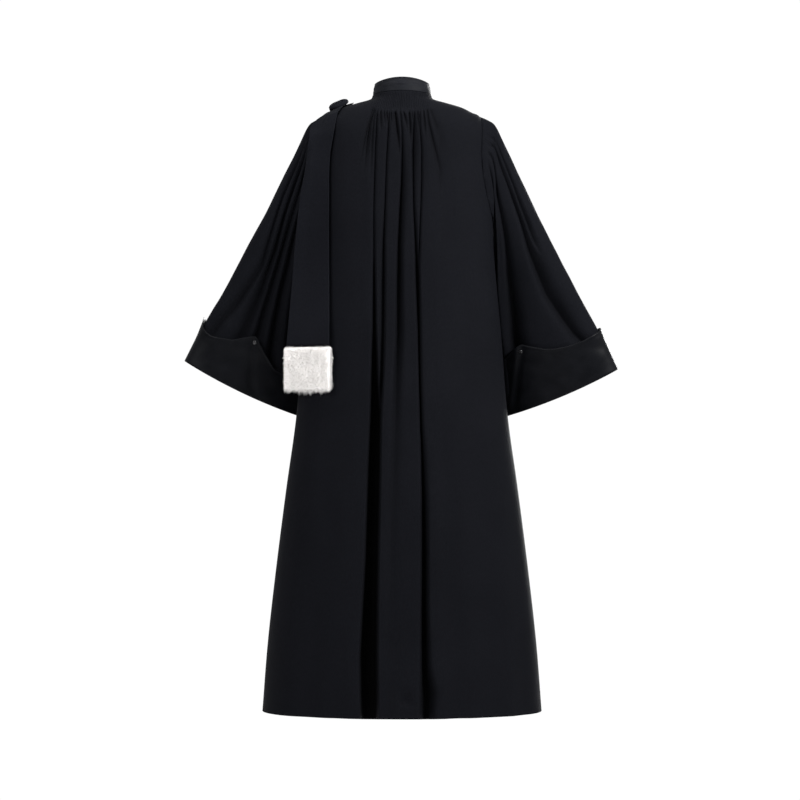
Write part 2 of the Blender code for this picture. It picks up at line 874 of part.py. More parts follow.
def make_sleeve(side):
    places = [(p, 4) for p in SLEEVE_HEAD_ROWS] + [(p, 2) for p in SLEEVE_ROWS]
    smooth = [[sleeve_smooth(side, p, s) for s in sleeve_steps(per)] for p, per in places]
    normals = outward_of(smooth)
    rows = [
        [
            point - normal * sleeve_depth(side, place, step) * MM
            for point, normal, step in zip(row, line, sleeve_steps(per))
        ]
        for row, line, (place, per) in zip(smooth, normals, places)
    ]
    normals = outward_of(rows)

    def rise(i, j):
        if i >= len(SLEEVE_HEAD_ROWS) or j % 2 == 0:
            return 0
        angle = round_angle(j / 4)
        return HEAD_PLEAT_RISE if min(angle, 360 - angle) < HEAD_PLEATS_TO else 0

    outer = mirror_left(side, moved(rows, normals, rise))
    inner = mirror_left(side, moved(rows, normals, -CLOTH))
    return wall(f"sleeve_{side}", WOOL, outer, inner, closed=True)


def cuff_edge(side, step):
    edge = CUFF_EDGE[side]
    return straight(edge, "place", place_of(edge, "angle", round_angle(step)))


def make_cuff(side):
    steps = sleeve_steps(2)
    shares = [i / CUFF_STEPS for i in range(CUFF_STEPS, -1, -1)]
    rows = [
        [sleeve_smooth(side, SLEEVE_MOUTH + (cuff_edge(side, s) - SLEEVE_MOUTH) * up, s) for s in steps]
        for up in shares
    ]
    normals = outward_of(rows)
    inner = moved(rows, normals, lambda i, j: CUFF_GAP + CUFF_STAND * shares[i] ** 2)
    outer = moved(rows, normals, lambda i, j: CUFF_GAP + CUFF_WALL + CUFF_STAND * shares[i] ** 2)
    wall(f"cuff_{side}", SATIN, mirror_left(side, outer), mirror_left(side, inner), closed=True)

    peak = CUFF_PEAK_COLUMN[side]
    spot = outer[0][peak].lerp(outer[1][peak], STUD_DOWN / 0.25)
    across = outer[1][peak + 1] - outer[1][peak - 1]
    outward = across.cross(outer[1][peak] - outer[0][peak]).normalized()
    if outward.y > 0:
        outward = -outward
    if side == "left":
        spot.x, outward.x = -spot.x, -outward.x
    make_stud(f"cuff_stud_{side}", spot + outward * 2 * SEAM, outward)


def make_stud(name, spot, outward):
    bm = bmesh.new()
    bmesh.ops.create_cone(
        bm,
        cap_ends=True,
        segments=16,
        radius1=STUD_RADIUS,
        radius2=STUD_RADIUS * 0.7,
        depth=STUD_THICK,
    )
    bmesh.ops.translate(bm, verts=bm.verts, vec=(0, 0, STUD_THICK / 2))
    made = finished(name, HORN, bm)
    made.matrix_world = standing_on(spot, outward)


# The stole


def tree_of(objects):
    """The surfaces of several objects, for laying the stole on them."""
    points, faces = [], []
    for made in objects:
        start = len(points)
        points += [v.co.copy() for v in made.data.vertices]
        faces += [[start + v for v in face.vertices] for face in made.data.polygons]
    return BVHTree.FromPolygons(points, faces)


def highest(under, x, y):
    """The height of the robe's top in a small patch round x, y."""
    starts = [(x + a, y + b, 100) for a in (-2, 0, 2) for b in (-2, 0, 2)]
    hits = [under.ray_cast(Vector(start) * MM, Vector((0, 0, -1)))[0] for start in starts]
    return max(hit.z for hit in hits if hit)


def furthest(under, x, z, facing):
    """How far out the robe reaches in a small patch round x, z, behind or in front."""
    starts = [(x + a, 400 * facing, z + b) for a in (-2, 0, 2) for b in (-3, 0, 3)]
    hits = [under.ray_cast(Vector(start) * MM, Vector((0, -facing, 0)))[0] for start in starts]
    return max((hit.y * facing for hit in hits if hit), default=0)


def across(row, name, share):
    """The value between a row's left and right ones."""
    left, right = (row[f"{name}{side}"] for side in ("left", "right"))
    return left + (right - left) * share


def stole_rows(under, over, down, facing, fur_height):
    """Rows of the strip: laid over the shoulder, then down. Facing is -1 behind, 1 in front."""
    shares = [i / STOLE_COLUMNS for i in range(STOLE_COLUMNS + 1)]
    rows = []
    for row in over:
        spots = [(across(row, "", share), across(row, "y_", share)) for share in shares]
        rows.append([Vector((x, y, 0)) * MM for x, y in spots])
        for point, spot in zip(rows[-1], spots):
            point.z = highest(under, *spot) + STOLE_LIFT
    for number, row in enumerate(down, 1):
        line = []
        stand = STOLE_STAND + (STOLE_END_STAND - STOLE_STAND) * ease(number / len(down))
        drop = fur_height / MM if row is down[-1] else 0
        for share, above in zip(shares, rows[-1]):
            x, z = across(row, "", share), across(row, "z_", share)
            levels = (z, z - drop / 2, z - drop)
            behind = max(furthest(under, x, level, facing) for level in levels)
            reach = max(behind + stand, above.y * facing)
            line.append(Vector((x * MM, reach * facing, z * MM)))
        rows.append(line)
    rows[-1] = straightened(rows[-1], facing)
    return eased(rows, facing)


def straightened(row, facing):
    """A row made straight, far enough out to clear all that its points cleared."""
    chord = [row[0].lerp(row[-1], i / (len(row) - 1)) for i in range(len(row))]
    short = max((point.y - on.y) * facing for point, on in zip(row, chord))
    return [on + Vector((0, short * facing, 0)) for on in chord]


def eased(rows, facing):
    """The hanging rows with small steps between neighbours filled out, never cut back."""
    for _ in range(3):
        for row in rows:
            for i in range(1, len(row) - 1):
                between = (row[i - 1].y + row[i + 1].y) / 2
                if between * facing > row[i].y * facing:
                    row[i].y = between
    return rows


def make_stole(name, under, over, down, facing, fur_height):
    rows = stole_rows(under, over, down, facing, fur_height)
    normals = normals_of(rows)
    for line in normals:
        for n in line:
            if n.y * facing + n.z < 0:
                n.negate()
    wall(f"stole_{name}", WOOL, moved(rows, normals, STOLE_WALL), rows)
    make_fur(f"stole_fur_{name}", rows[-1], facing, fur_height)


def make_fur(name, end, facing, height):
    """A thick band round the end of a strip, as big as its pile reaches."""
    run = end[-1] - end[0]
    width = run.length + 2 * FUR_PILE
    bm = bmesh.new()
    bmesh.ops.create_cube(bm, size=1)
    bmesh.ops.scale(bm, verts=bm.verts, vec=(width, FUR_THICK, height))
    bmesh.ops.bevel(
        bm,
        geom=bm.edges[:],
        offset=FUR_PILE,
        segments=3,
        profile=0.5,
        affect="EDGES",
        clamp_overlap=True,
    )
    made = finished(name, FUR, bm)
    out = Vector((run.y, -run.x, 0)).normalized()
    if out.y * facing < 0:
        out.negate()
    middle = (end[0] + end[-1]) / 2 - Vector((0, 0, height / 2 + SEAM))
    made.location = middle + out * STOLE_WALL / 2
    made.rotation_euler = (0, 0, math.atan2(run.y, run.x))


def make_rosette():
    bm = bmesh.new()
    points = [bm.verts.new((row["radius"] * MM, 0, row["z"] * MM)) for row in ROSETTE_PROFILE]
    edges = [bm.edges.new(pair) for pair in zip(points, points[1:])]
    bmesh.ops.spin(
        bm,
        geom=points + edges,
        axis=(0, 0, 1),
        cent=(0, 0, 0),
        angle=2 * math.pi,
        steps=ROSETTE_SEGMENTS,
        use_merge=True,
    )
    bmesh.ops.remove_doubles(bm, verts=bm.verts, dist=0.01 * MM)
    made = finished("stole_rosette", WOOL, bm)
    made.location = Vector(ROSETTE_CENTRE) * MM
    made.rotation_euler = (math.radians(ROSETTE_TIP), -math.radians(ROSETTE_LEAN), 0)


def main():
    for old in list(bpy.data.objects):
        bpy.data.objects.remove(old)
    back = make_back()
    left = make_front("front_left", -1)
    make_front("front_right", 1)
    make_buttons(make_placket())
    make_collar()
    sleeve = make_sleeve("left")
    make_sleeve("right")
    for side in ("left", "right"):
        make_cuff(side)
    under = tree_of((back, left, sleeve))
    make_stole("back", under, STOLE_BACK_OVER, STOLE_BACK_DOWN, -1, FUR_BACK_HEIGHT)
    make_stole("front", under, STOLE_FRONT_OVER, STOLE_FRONT_DOWN, 1, FUR_FRONT_HEIGHT)
    make_rosette()
    bpy.context.view_layer.update()


main()
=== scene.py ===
import math
import random

import bmesh
import bpy
import numpy as np
from mathutils import Euler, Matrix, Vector, noise
from mathutils.bvhtree import BVHTree


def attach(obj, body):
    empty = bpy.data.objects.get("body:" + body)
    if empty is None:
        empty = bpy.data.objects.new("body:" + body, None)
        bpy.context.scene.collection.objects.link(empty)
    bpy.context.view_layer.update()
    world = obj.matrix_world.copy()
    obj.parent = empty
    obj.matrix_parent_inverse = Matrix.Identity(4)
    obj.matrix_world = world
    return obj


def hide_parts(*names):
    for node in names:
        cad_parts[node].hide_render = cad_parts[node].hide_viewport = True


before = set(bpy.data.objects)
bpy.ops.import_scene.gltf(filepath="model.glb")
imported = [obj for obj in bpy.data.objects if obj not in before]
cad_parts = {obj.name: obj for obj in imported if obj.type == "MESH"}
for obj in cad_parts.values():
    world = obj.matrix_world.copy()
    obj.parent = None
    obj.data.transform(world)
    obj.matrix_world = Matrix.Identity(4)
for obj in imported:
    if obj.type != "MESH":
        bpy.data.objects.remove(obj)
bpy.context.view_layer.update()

MM = 0.001
FLOOR_Z = -2.6


def table(columns, *rows):
    """Rows of numbers as one array for each named column."""
    return dict(zip(columns.split(), np.array(rows, float).T))


# Rings of the body from the neck seam to the hem, in millimetres
BODY = table(
    "side_z half_width back_z back_depth front_z front_depth square",
    (10, 64, 14, 61, -34, 62, 2.0),
    (0, 70.5, 2, 67, -46, 68, 2.0),
    (-8, 99, -16, 78, -68, 80, 2.1),
    (-17.5, 131, -36, 90, -95, 93, 2.2),
    (-28.5, 153, -58, 99, -125, 104, 2.25),
    (-39, 172, -85, 105, -155, 114, 2.3),
    (-75, 184, -115, 109, -180, 122, 2.3),
    (-120, 190, -150, 112, -205, 127, 2.3),
    (-170, 195, -190, 115, -230, 129, 2.3),
    (-220, 198, -232, 117, -255, 130, 2.3),
    (-270, 200, -275, 119, -288, 131, 2.3),
    (-352, 203, -352, 121, -356, 132, 2.3),
    (-517, 218, -517, 127, -517, 136, 2.3),
    (-691, 232, -691, 137, -691, 145, 2.3),
    (-858, 255, -858, 148, -858, 153, 2.3),
    (-1030, 277, -1030, 158, -1030, 162, 2.25),
    (-1190, 295, -1190, 168, -1190, 169, 2.2),
    (-1342, 307, -1342, 178, -1342, 176, 2.2),
)
SHOULDER_ROW = 5
UNDERARM_ROW = 10
HEM_ROW = 17
SEAM_BEHIND = 8
SEAM_GAP = 0.3
BACK_SCYE = 57
FRONT_SCYE = 64
CLOTH = 1.2 * MM

# The gathered middle of the back: its two edges at each height
GATHERED = table(
    "z left right",
    (14, -58, 57),
    (-26, -72, 64),
    (-60, -82, 74),
    (-250, -96, 90),
    (-790, -104, 92),
    (-1342, -112, 96),
)
FINE_PLEATS = 34
PLEAT_RISE = table("z rise", (13, 1.0), (8, 1.9), (-20, 2.1), (-27, 1.2), (-34, 0))
PUFF = table("z out", (-28, 0), (-40, 3.4), (-70, 3.6), (-130, 1.6), (-230, 0))

# Gathers that fade out: where each starts and wanders to, how deep it is, how far it
# reaches to its left and right, and where it has gone
FADING_GATHERS = (
    # x at -34, -60, -100, -160; deep, left, right, gone by
    ((-65, -72, -82, -93), 5.0, 2.2, 3.4, -165),
    ((-61, -69, -75, -82), 6.5, 2.0, 3.0, -185),
    ((-59, -62, -65, -68), 4.5, 1.5, 3.0, -210),
    ((-46, -46, -46, -46), 6.0, 1.4, 1.8, -88),
    ((-39, -37, -36, -36), 5.0, 1.2, 1.6, -74),
    ((-33, -31, -30, -30), 6.0, 1.6, 1.6, -80),
    ((-23, -23, -23, -23), 5.0, 1.3, 1.4, -72),
    ((-17, -17, -18, -19), 5.5, 1.3, 1.6, -66),
    ((-14, -11, -6.5, -4), 9.0, 3.2, 1.4, -150),
    ((3, 9, 12, 14), 6.0, 1.4, 2.0, -84),
    ((15, 17, 19, 20), 7.0, 1.4, 2.6, -125),
    ((22, 22, 22, 22), 4.5, 1.2, 1.4, -70),
    ((34, 35, 35, 35), 6.0, 1.4, 2.0, -90),
    ((47, 49, 50, 51), 5.5, 1.6, 1.8, -105),
    ((55, 58, 67, 81), 6.0, 3.0, 3.0, -240),
    ((63, 72, 84, 96), 4.0, 4.0, 5.0, -170),
)

# The folds that run on down the back: where each lies, how deep it is, how far it reaches
# to its left and right, and how sharp its sides are
BACK_FOLDS = (
    table(
        "z x deep left right sharp",
        (-26, -52, 0, 1.5, 1.5, 0.9),
        (-42, -54, 9, 1.6, 1.8, 0.9),
        (-120, -57.5, 9, 1.5, 1.8, 0.85),
        (-243, -60.9, 9, 1.5, 1.8, 0.85),
        (-345, -60.6, 11, 1.8, 2.2, 1.0),
        (-401, -60.2, 16, 2.6, 3, 1.6),
        (-518, -59.8, 24, 3.8, 4.4, 2),
        (-561, -59.8, 29, 5.8, 6.4, 3),
        (-634, -59.2, 34, 8.2, 8.6, 4),
        (-692, -57.2, 38, 11.2, 11.5, 6),
        (-809, -60.3, 40, 13, 13.4, 7),
        (-997, -64.9, 42, 13.8, 14, 7),
        (-1118, -69, 44, 16, 16.2, 8),
        (-1209, -71.7, 46, 18.2, 18.4, 8),
        (-1342, -70, 46, 18, 18, 8),
    ),
    table(
        "z x deep left right sharp",
        (-26, -26, 0, 1.5, 1.5, 0.9),
        (-42, -28, 8, 1.5, 2.4, 0.9),
        (-140, -33.3, 9, 1.6, 2, 0.85),
        (-243, -36.1, 10, 2.6, 1.6, 0.9),
        (-315, -38, 12, 5, 1.6, 1.1),
        (-401, -37.6, 15, 8, 1.8, 1.4),
        (-518, -38.8, 15, 8, 1.8, 1.4),
        (-600, -41, 17, 8, 2, 1.6),
        (-692, -46, 16, 8, 2, 2),
        (-760, -48, 0, 8, 2, 2),
        (-1342, -48, 0, 8, 2, 2),
    ),
    table(
        "z x deep left right sharp",
        (-26, -4, 0, 1.5, 1.5, 0.9),
        (-42, -3, 7, 1.5, 2.2, 0.9),
        (-80, 0, 8, 1.6, 2.4, 0.9),
        (-120, 0.6, 11, 2.2, 3.4, 1.1),
        (-185, -1.6, 14, 1.8, 7.5, 1.3),
        (-243, -4.6, 15, 2, 8, 1.6),
        (-330, -7.4, 17, 3.2, 7.6, 2.4),
        (-401, -7.4, 18, 4.6, 7.6, 2.6),
        (-518, -8.4, 16, 4.6, 9, 2.2),
        (-660, -14, 9, 6, 9, 1.8),
        (-751, -17, 5.5, 8, 11, 1.8),
        (-867, -22, 4, 9, 12, 2),
        (-1100, -24, 3, 10, 14, 2),
        (-1342, -26, 1, 14, 16, 2),
    ),
    table(
        "z x deep left right sharp",
        (-26, 27, 0, 1.5, 1.5, 0.9),
        (-42, 26, 9, 1.8, 4.4, 1.0),
        (-69, 25, 11, 2, 6, 1.1),
        (-120, 22.6, 12, 1.6, 8, 1.2),
        (-180, 23.8, 11, 1.6, 3.6, 1.0),
        (-243, 25.2, 11, 1.6, 2.6, 1.0),
        (-315, 28.6, 14, 1.8, 4, 1.2),
        (-388, 33.2, 18, 4.6, 4.6, 2.6),
        (-459, 35, 20, 3.6, 3.8, 2),
        (-518, 36.4, 20, 2.6, 3.2, 1.4),
        (-606, 37.6, 20, 1.8, 3.0, 1.1),
        (-722, 40.6, 20, 1.8, 3.2, 1.1),
        (-781, 42.6, 22, 1.8, 5.0, 1.2),
        (-875, 45, 26, 3.2, 7.5, 1.8),
        (-997, 46, 30, 4, 8, 2.2),
        (-1118, 45.6, 30, 4.6, 8.6, 2.4),
        (-1240, 46.4, 30, 5.2, 11, 2.2),
        (-1287, 49, 30, 8, 19, 2.2),
        (-1342, 49, 30, 8, 15, 2.2),
    ),
    table(
        "z x deep left right sharp",
        (-26, 40, 0, 1.5, 1.5, 0.9),
        (-42, 38.5, 8, 1.6, 2.4, 0.9),
        (-69, 38.6, 8, 1.5, 2, 0.9),
        (-120, 42.4, 9, 1.6, 1.8, 0.85),
        (-185, 42.2, 9, 1.5, 1.8, 0.85),
        (-243, 40.5, 9, 1.5, 1.8, 0.85),
        (-302, 38.1, 10, 1.5, 1.8, 0.9),
        (-345, 36.8, 12, 1.8, 2, 1),
        (-401, 36, 0, 2, 2, 1),
        (-1342, 47, 0, 5, 8, 1.4),
    ),
)
# How deep a fold has to be before its cloth gets the full painted shade, on the back and on the sleeves
FULL_DARK = 30
SLEEVE_DARK = 34
# The hem's stitching draws up one shallow pucker
HEM_PUCKER = (9, -1299, 13, 8, 9)
# Broad soft hollows in the plain sides of the back, and on each front
SOFT_HOLLOWS = (
    table("z x deep left right sharp", (-140, 150, 0, 14, 20, 2), (-420, 128, 3.5, 20, 26, 2), (-1342, 190, 7, 36, 40, 2)),
    table("z x deep left right sharp", (-200, -120, 0, 20, 20, 2), (-560, -138, 3, 22, 26, 2), (-1342, -200, 7, 40, 36, 2)),
    table("z x deep left right sharp", (-650, 95, 0, 16, 20, 2), (-1000, 108, 4, 22, 24, 2), (-1342, 122, 8, 26, 28, 2)),
    table("z x deep left right sharp", (-700, -150, 0, 18, 20, 2), (-1342, -148, 5, 22, 22, 2)),
    table("z x deep left right sharp", (-600, 225, 0, 12, 14, 2), (-1342, 262, 6, 18, 20, 2)),
)
FRONT_FLUTES = (
    table("z x deep left right sharp", (-250, 72, 0, 24, 24, 2), (-500, 76, 4, 20, 22, 2), (-1342, 95, 14, 26, 28, 2)),
    table("z x deep left right sharp", (-290, 122, 0, 22, 22, 2), (-600, 140, 4, 20, 22, 2), (-1342, 195, 12, 28, 30, 2)),
)
WRINKLE = 0.9 * MM
HEM_DEEP = 26
HEM_STEP = 0.5 * MM

# Cross-sections of the right sleeve from the armhole to the mouth
SLEEVE = table(
    "out_x out_y out_z in_x in_y in_z back front hang",
    (173, 0, -39, 201, 0, -271, 57, 64, 0),
    (192, 0, -46.5, 202, 16, -288, 60, 65, 0),
    (207, 1, -61, 199, 32, -310, 62, 65, 0),
    (226, 3, -99, 193, 52, -345, 62, 64, 0),
    (270, 8, -190, 192, 68, -400, 60, 62, 0),
    (314, 13, -281, 191, 84, -455, 58, 60, 0),
    (360, 18, -370, 195, 97, -515, 56, 60, 0),
    (399, 23, -444, 200, 107, -570, 55, 60, 2),
    (433, 27, -505, 203, 114, -625, 55, 60, 5),
    (476, 32, -591, 205, 121, -703, 56, 62, 9),
)
SLEEVE_MOUTH = 9
LEFT_SWING = {"out_x": 3, "out_z": 18, "hang": 1}
SLEEVE_CLEAR = 1
SLEEVE_SEAM = 0.5
UNDERARM_Z = -272
HEAD_PLEATS = 21
HEAD_PLEATS_TO = 68

# Sleeve folds, each with the angle round the sleeve where it lies at some places along it,
# its depth, and how far it reaches each way. Angles go from the outer edge over the back.
HIDDEN_FOLDS = (
    table("place angle deep before after", (1.2, 236, 0, 9, 9), (2.4, 230, 5, 8, 9), (5, 222, 9, 11, 12), (9, 220, 8, 12, 14)),
    table("place angle deep before after", (1.2, 272, 0, 8, 8), (2.4, 268, 5, 8, 8), (5, 258, 11, 10, 11), (9, 252, 10, 12, 12)),
    table("place angle deep before after", (1.2, 308, 0, 7, 7), (2.4, 304, 5, 7, 7), (5, 290, 11, 8, 10), (9, 296, 10, 11, 11)),
)
# The sleeve's roll beside the robe, out of its own fold
SLEEVE_ROLL = {
    "right": table("place angle deep before after", (2.2, 98, 0, 4, 4), (3.3, 108, 4, 4, 5), (3.85, 117, 7, 4, 6), (5, 126, 9, 5, 11), (6.2, 132, 9, 6, 13), (9, 136, 5, 7, 12)),
    "left": table("place angle deep before after", (2.2, 112, 0, 4, 4), (5, 132, 5, 5, 7), (9, 146, 5, 7, 9)),
}
SLEEVE_FOLDS = {
    "right": (
        table(
            "place angle deep before after",
            (0.9, 60, 0, 2, 2),
            (1.4, 56, 5, 2.5, 2.5),
            (2.0, 53, 6, 3, 3),
            (2.6, 53, 7, 3, 4),
            (3.35, 56, 8, 5, 3.5),
            (3.9, 58, 11, 6, 3.5),
            (4.4, 61, 13, 8, 3),
            (5.0, 66, 15, 10, 3),
            (5.55, 67, 17, 12, 3.5),
            (6.25, 67, 17, 12, 4),
            (7.0, 60, 17, 10, 5),
            (7.75, 54, 15, 8, 6),
            (8.2, 47, 11, 8, 6),
            (9, 40, 6, 8, 8),
        ),
        table(
            "place angle deep before after",
            (1.0, 50, 0, 2, 2),
            (1.6, 44, 4.5, 2.5, 2.5),
            (2.5, 40, 5, 3, 3),
            (3.25, 41, 6, 3, 4),
            (3.7, 43, 7, 3, 5),
            (4.1, 46, 9, 4, 6),
            (4.55, 48, 11, 5, 6),
            (4.95, 51, 9, 6, 5),
            (5.2, 50, 5, 6, 5),
            (5.4, 48, 0, 6, 5),
            (9, 48, 0, 6, 5),
        ),
        table(
            "place angle deep before after",
            (0.85, 70, 0, 2, 2),
            (1.2, 70, 5, 2.5, 2.5),
            (1.6, 73, 6, 3, 3),
            (2.25, 80, 7, 4, 3),
            (3.15, 91, 9, 6, 3.5),
            (3.8, 97, 12, 8, 4),
            (4.8, 109, 14, 11, 4),
            (5.65, 115, 15, 12, 4.5),
            (6.6, 121, 15, 12, 5),
            (9, 128, 11, 12, 8),
        ),
        table(
            "place angle deep before after",
            (0.85, 82, 0, 3, 2.5),
            (1.15, 88, 5, 3, 2.5),
            (1.4, 98, 6, 3.5, 3),
            (1.7, 107, 6, 4, 3),
            (2.75, 112, 7, 5, 3.5),
            (3.4, 119, 5, 5, 3.5),
            (4.2, 126, 0, 5, 4),
            (9, 126, 0, 5, 4),
        ),
        *HIDDEN_FOLDS,
    ),
    "left": (
        table(
            "place angle deep before after",
            (1.5, 26, 0, 4, 4),
            (3.2, 35, 6, 4, 5),
            (4, 38, 9.5, 4.2, 4.2),
            (5.6, 57, 12.2, 5.1, 5.1),
            (6.9, 47, 13.5, 7.6, 6),
            (7.9, 36, 10.8, 8.5, 7.6),
            (9, 28, 6.8, 8.5, 8.5),
        ),
        table(
            "place angle deep before after",
            (1.2, 34, 0, 3, 3),
            (2.2, 44, 5, 3, 3),
            (4.1, 58, 13.5, 4.2, 3.4),
            (5, 67, 16.2, 5.1, 3.4),
            (6.1, 71, 17.6, 6.8, 4.2),
            (7.6, 70, 16.2, 6.8, 6),
            (9, 68, 12.2, 7.6, 7.6),
        ),
        table(
            "place angle deep before after",
            (1, 50, 0, 3, 3),
            (2.2, 60, 6, 3, 3),
            (3.8, 72, 11, 4, 4),
            (4.9, 77, 16.2, 3.4, 3.4),
            (5.9, 82, 16.2, 4.2, 4.2),
            (7.2, 86, 16.2, 5.1, 5.1),
            (9, 88, 12.2, 7.6, 7.6),
        ),
        table(
            "place angle deep before after",
            (0.9, 66, 0, 3, 3),
            (1.8, 72, 5, 3, 3),
            (3.6, 86, 11, 4, 4),
            (4.9, 92, 16.2, 4.2, 4.2),
            (6.3, 99, 16.2, 5.1, 5.1),
            (7.4, 104, 14.9, 6, 6.8),
            (9, 108, 12.2, 7.6, 8.5),
        ),
        table(
            "place angle deep before after",
            (0.8, 84, 0, 4, 4),
            (1.8, 92, 5, 4, 4),
            (3.6, 104, 9, 5, 6),
            (5.5, 118, 14.9, 6, 6.8),
            (9, 134, 12.2, 8.5, 10.2),
        ),
        table(
            "place angle deep before after",
            (1, 122, 0, 5, 5),
            (2.5, 132, 5, 7, 7),
            (5.5, 146, 10.8, 7.6, 7.6),
            (9, 158, 9.5, 8.5, 10.2),
        ),
        *HIDDEN_FOLDS,
    ),
}

# The top edge of each cuff, as a place between the sleeve's sections
CUFF_EDGE = {
    "right": table("angle place", (0, 7.98), (18, 8.03), (45, 8.04), (58, 8.0), (69, 7.93), (79, 7.83), (89, 7.66), (111, 7.08), (122, 7.1), (135, 7.22), (180, 7.4), (270, 7.9), (360, 7.98)),
    "left": table("angle place", (0, 7.87), (7, 7.95), (14, 8.05), (22, 8.13), (30, 8.17), (38, 8.17), (46, 8.12), (62, 7.96), (82, 7.43), (95, 7.77), (108, 8.08), (180, 8.1), (270, 8.1), (360, 7.87)),
}
PEAK_ANGLE = {"right": 113, "left": 83}
# Where the cuff's lap, which runs down from its peak, reaches the mouth
CUFF_SEAM = {"right": 136, "left": 98}
CUFF_GAP = 0.9
CUFF_STAND = 5
FACING_UP = 45

COLLAR_TOP = {"half_width": 59.5, "back": 56, "front": 58}
COLLAR_TOP_Z = {"side": 35, "back": 45, "front": -4}
COLLAR_LIFT = 0.8
COLLAR_OPEN = 2.2
COLLAR_CORNER = 9

PLACKET_HALF = 16.5
PLACKET_GAP = 0.6
PLACKET_WALL = 1.4 * MM
BUTTONS = 12
BUTTON_FIRST_Z = -80
BUTTON_PITCH = 98
BUTTON_RADIUS = 6.4 * MM
BUTTON_THICK = 3 * MM

STOLE_BACK_OVER = table(
    "left right y_left y_right",
    (-163, -121, 0, 0),
    (-174, -123, -9, -10),
    (-183, -127, -17, -22),
    (-190, -131, -22, -35),
    (-196, -136, -27, -48),
    (-200, -141, -31, -60),
)
STOLE_BACK_DOWN = table(
    "left right z_left z_right",
    (-202, -147, -84, -74),
    (-204, -151, -102, -98),
    (-206, -155, -122, -122),
    (-209, -157, -146, -146),
    (-213, -158, -172, -172),
    (-221, -158, -215, -215),
    (-231, -158, -305, -305),
    (-241, -157, -425, -425),
    (-251, -157, -538, -538),
)
STOLE_FRONT_OVER = table(
    "left right y_left y_right",
    (-163, -106, 0.3, 0.3),
    (-165, -110, 10, 14),
    (-167, -114, 19, 29),
    (-168, -117, 27, 43),
    (-169, -119, 34, 56),
    (-170, -120, 40, 68),
)
STOLE_FRONT_DOWN = table(
    "left right z_left z_right",
    (-171, -120, -92, -86),
    (-172, -120, -112, -112),
    (-173, -119, -138, -138),
    (-174, -118, -170, -170),
    (-175, -115, -235, -235),
    (-176, -111, -310, -310),
    (-177, -106, -385, -385),
)
STOLE_COLUMNS = 6
STOLE_LIFT = 2.2
STOLE_STAND = 4
STOLE_END_STAND = 11
STOLE_WALL = 1.6 * MM
FUR_BACK_HEIGHT = 104
FUR_FRONT_HEIGHT = 80
FUR_PILE = 8
FUR_THICK = 18
ROSETTE_CENTRE = (-139, -3, -10.8)
ROSETTE_LEAN = 22
ROSETTE_TIP = 17


def at(rows, column, place):
    """The column's value at a fractional row, on a smooth curve through the rows."""
    values = rows[column]
    last = len(values) - 1
    i = min(max(math.floor(place), 0), last - 1)
    t = place - i
    start, end = values[i], values[i + 1]
    before = values[i - 1] if i > 0 else 2 * start - end
    after = values[i + 2] if i + 2 <= last else 2 * end - start
    leave, arrive = (end - before) / 2, (after - start) / 2
    return (
        (2 * t**3 - 3 * t**2 + 1) * start
        + (t**3 - 2 * t**2 + t) * leave
        + (3 * t**2 - 2 * t**3) * end
        + (t**3 - t**2) * arrive
    )


def falling(rows, column, z):
    """The column's value at heights z, for a table that runs downwards."""
    return np.interp(-np.asarray(z, float), -rows["z"], rows[column])


def ease(t):
    t = np.clip(t, 0, 1)
    return t * t * (3 - 2 * t)


# The body


def ring_at(row):
    return {name: at(BODY, name, row) for name in BODY}


def ring_points(row, angles):
    """Points of the robe without folds, in millimetres. Angle 0 is the back."""
    ring = ring_at(row)
    angles = np.asarray(angles, float)
    across, along = np.sin(angles), np.cos(angles)
    power = 2 / ring["square"]
    depth = np.where(along > 0, -ring["back_depth"], ring["front_depth"])
    end_z = np.where(along > 0, ring["back_z"], ring["front_z"])
    return np.stack(
        [
            ring["half_width"] * np.sign(across) * np.abs(across) ** power,
            depth * np.abs(along) ** power,
            ring["side_z"] + (end_z - ring["side_z"]) * along**2,
        ],
        axis=1,
    )


def angle_at_depth(row, y):
    ring = ring_at(row)
    share = min(abs(y) / ring["back_depth" if y < 0 else "front_depth"], 1)
    return math.acos(share ** (ring["square"] / 2))


def angle_at_width(row, x):
    ring = ring_at(row)
    share = np.minimum(np.abs(x) / ring["half_width"], 1)
    return np.copysign(np.arcsin(share ** (ring["square"] / 2)), x)


def scye_width(row):
    top, bottom = BODY["side_z"][SHOULDER_ROW], BODY["side_z"][UNDERARM_ROW]
    fall = min(max((at(BODY, "side_z", row) - top) / (bottom - top), 0), 1)
    return 2 * math.sqrt(fall * (1 - fall))


def back_edge(row):
    """The angle where the back panel ends: the shoulder seam, armhole or side seam."""
    if row <= SHOULDER_ROW:
        return angle_at_depth(row, -SEAM_BEHIND - SEAM_GAP / 2)
    if row < UNDERARM_ROW:
        return angle_at_depth(row, -max(SEAM_GAP / 2, BACK_SCYE * scye_width(row)))
    return angle_at_depth(row, -SEAM_GAP / 2)


def front_edge(row):
    if row <= SHOULDER_ROW:
        return angle_at_depth(row, -SEAM_BEHIND + SEAM_GAP / 2)
    if row < UNDERARM_ROW:
        return math.pi - angle_at_depth(row, max(SEAM_GAP / 2, FRONT_SCYE * scye_width(row)))
    return math.pi - angle_at_depth(row, SEAM_GAP / 2)


def crease(off, before, after, sharp):
    """One fold's section: a hollow of depth 1 that reaches a little way to each side."""
    return np.exp(-((np.abs(off) / np.where(off < 0, before, after)) ** sharp))


def trough(fold, x, z):
    """How deep a fold is at x, z."""
    off = x - falling(fold, "x", z)
    inside = (np.asarray(z) <= fold["z"][0]).astype(float)
    reach = falling(fold, "left", z), falling(fold, "right", z)
    return falling(fold, "deep", z) * inside * crease(off, *reach, falling(fold, "sharp", z))


def stitched_edge(x):
    """How low the stitched band of pleats reaches: lowest in the middle."""
    return -34 + 8 * np.clip(np.abs(x) / 66, 0, 1) ** 2


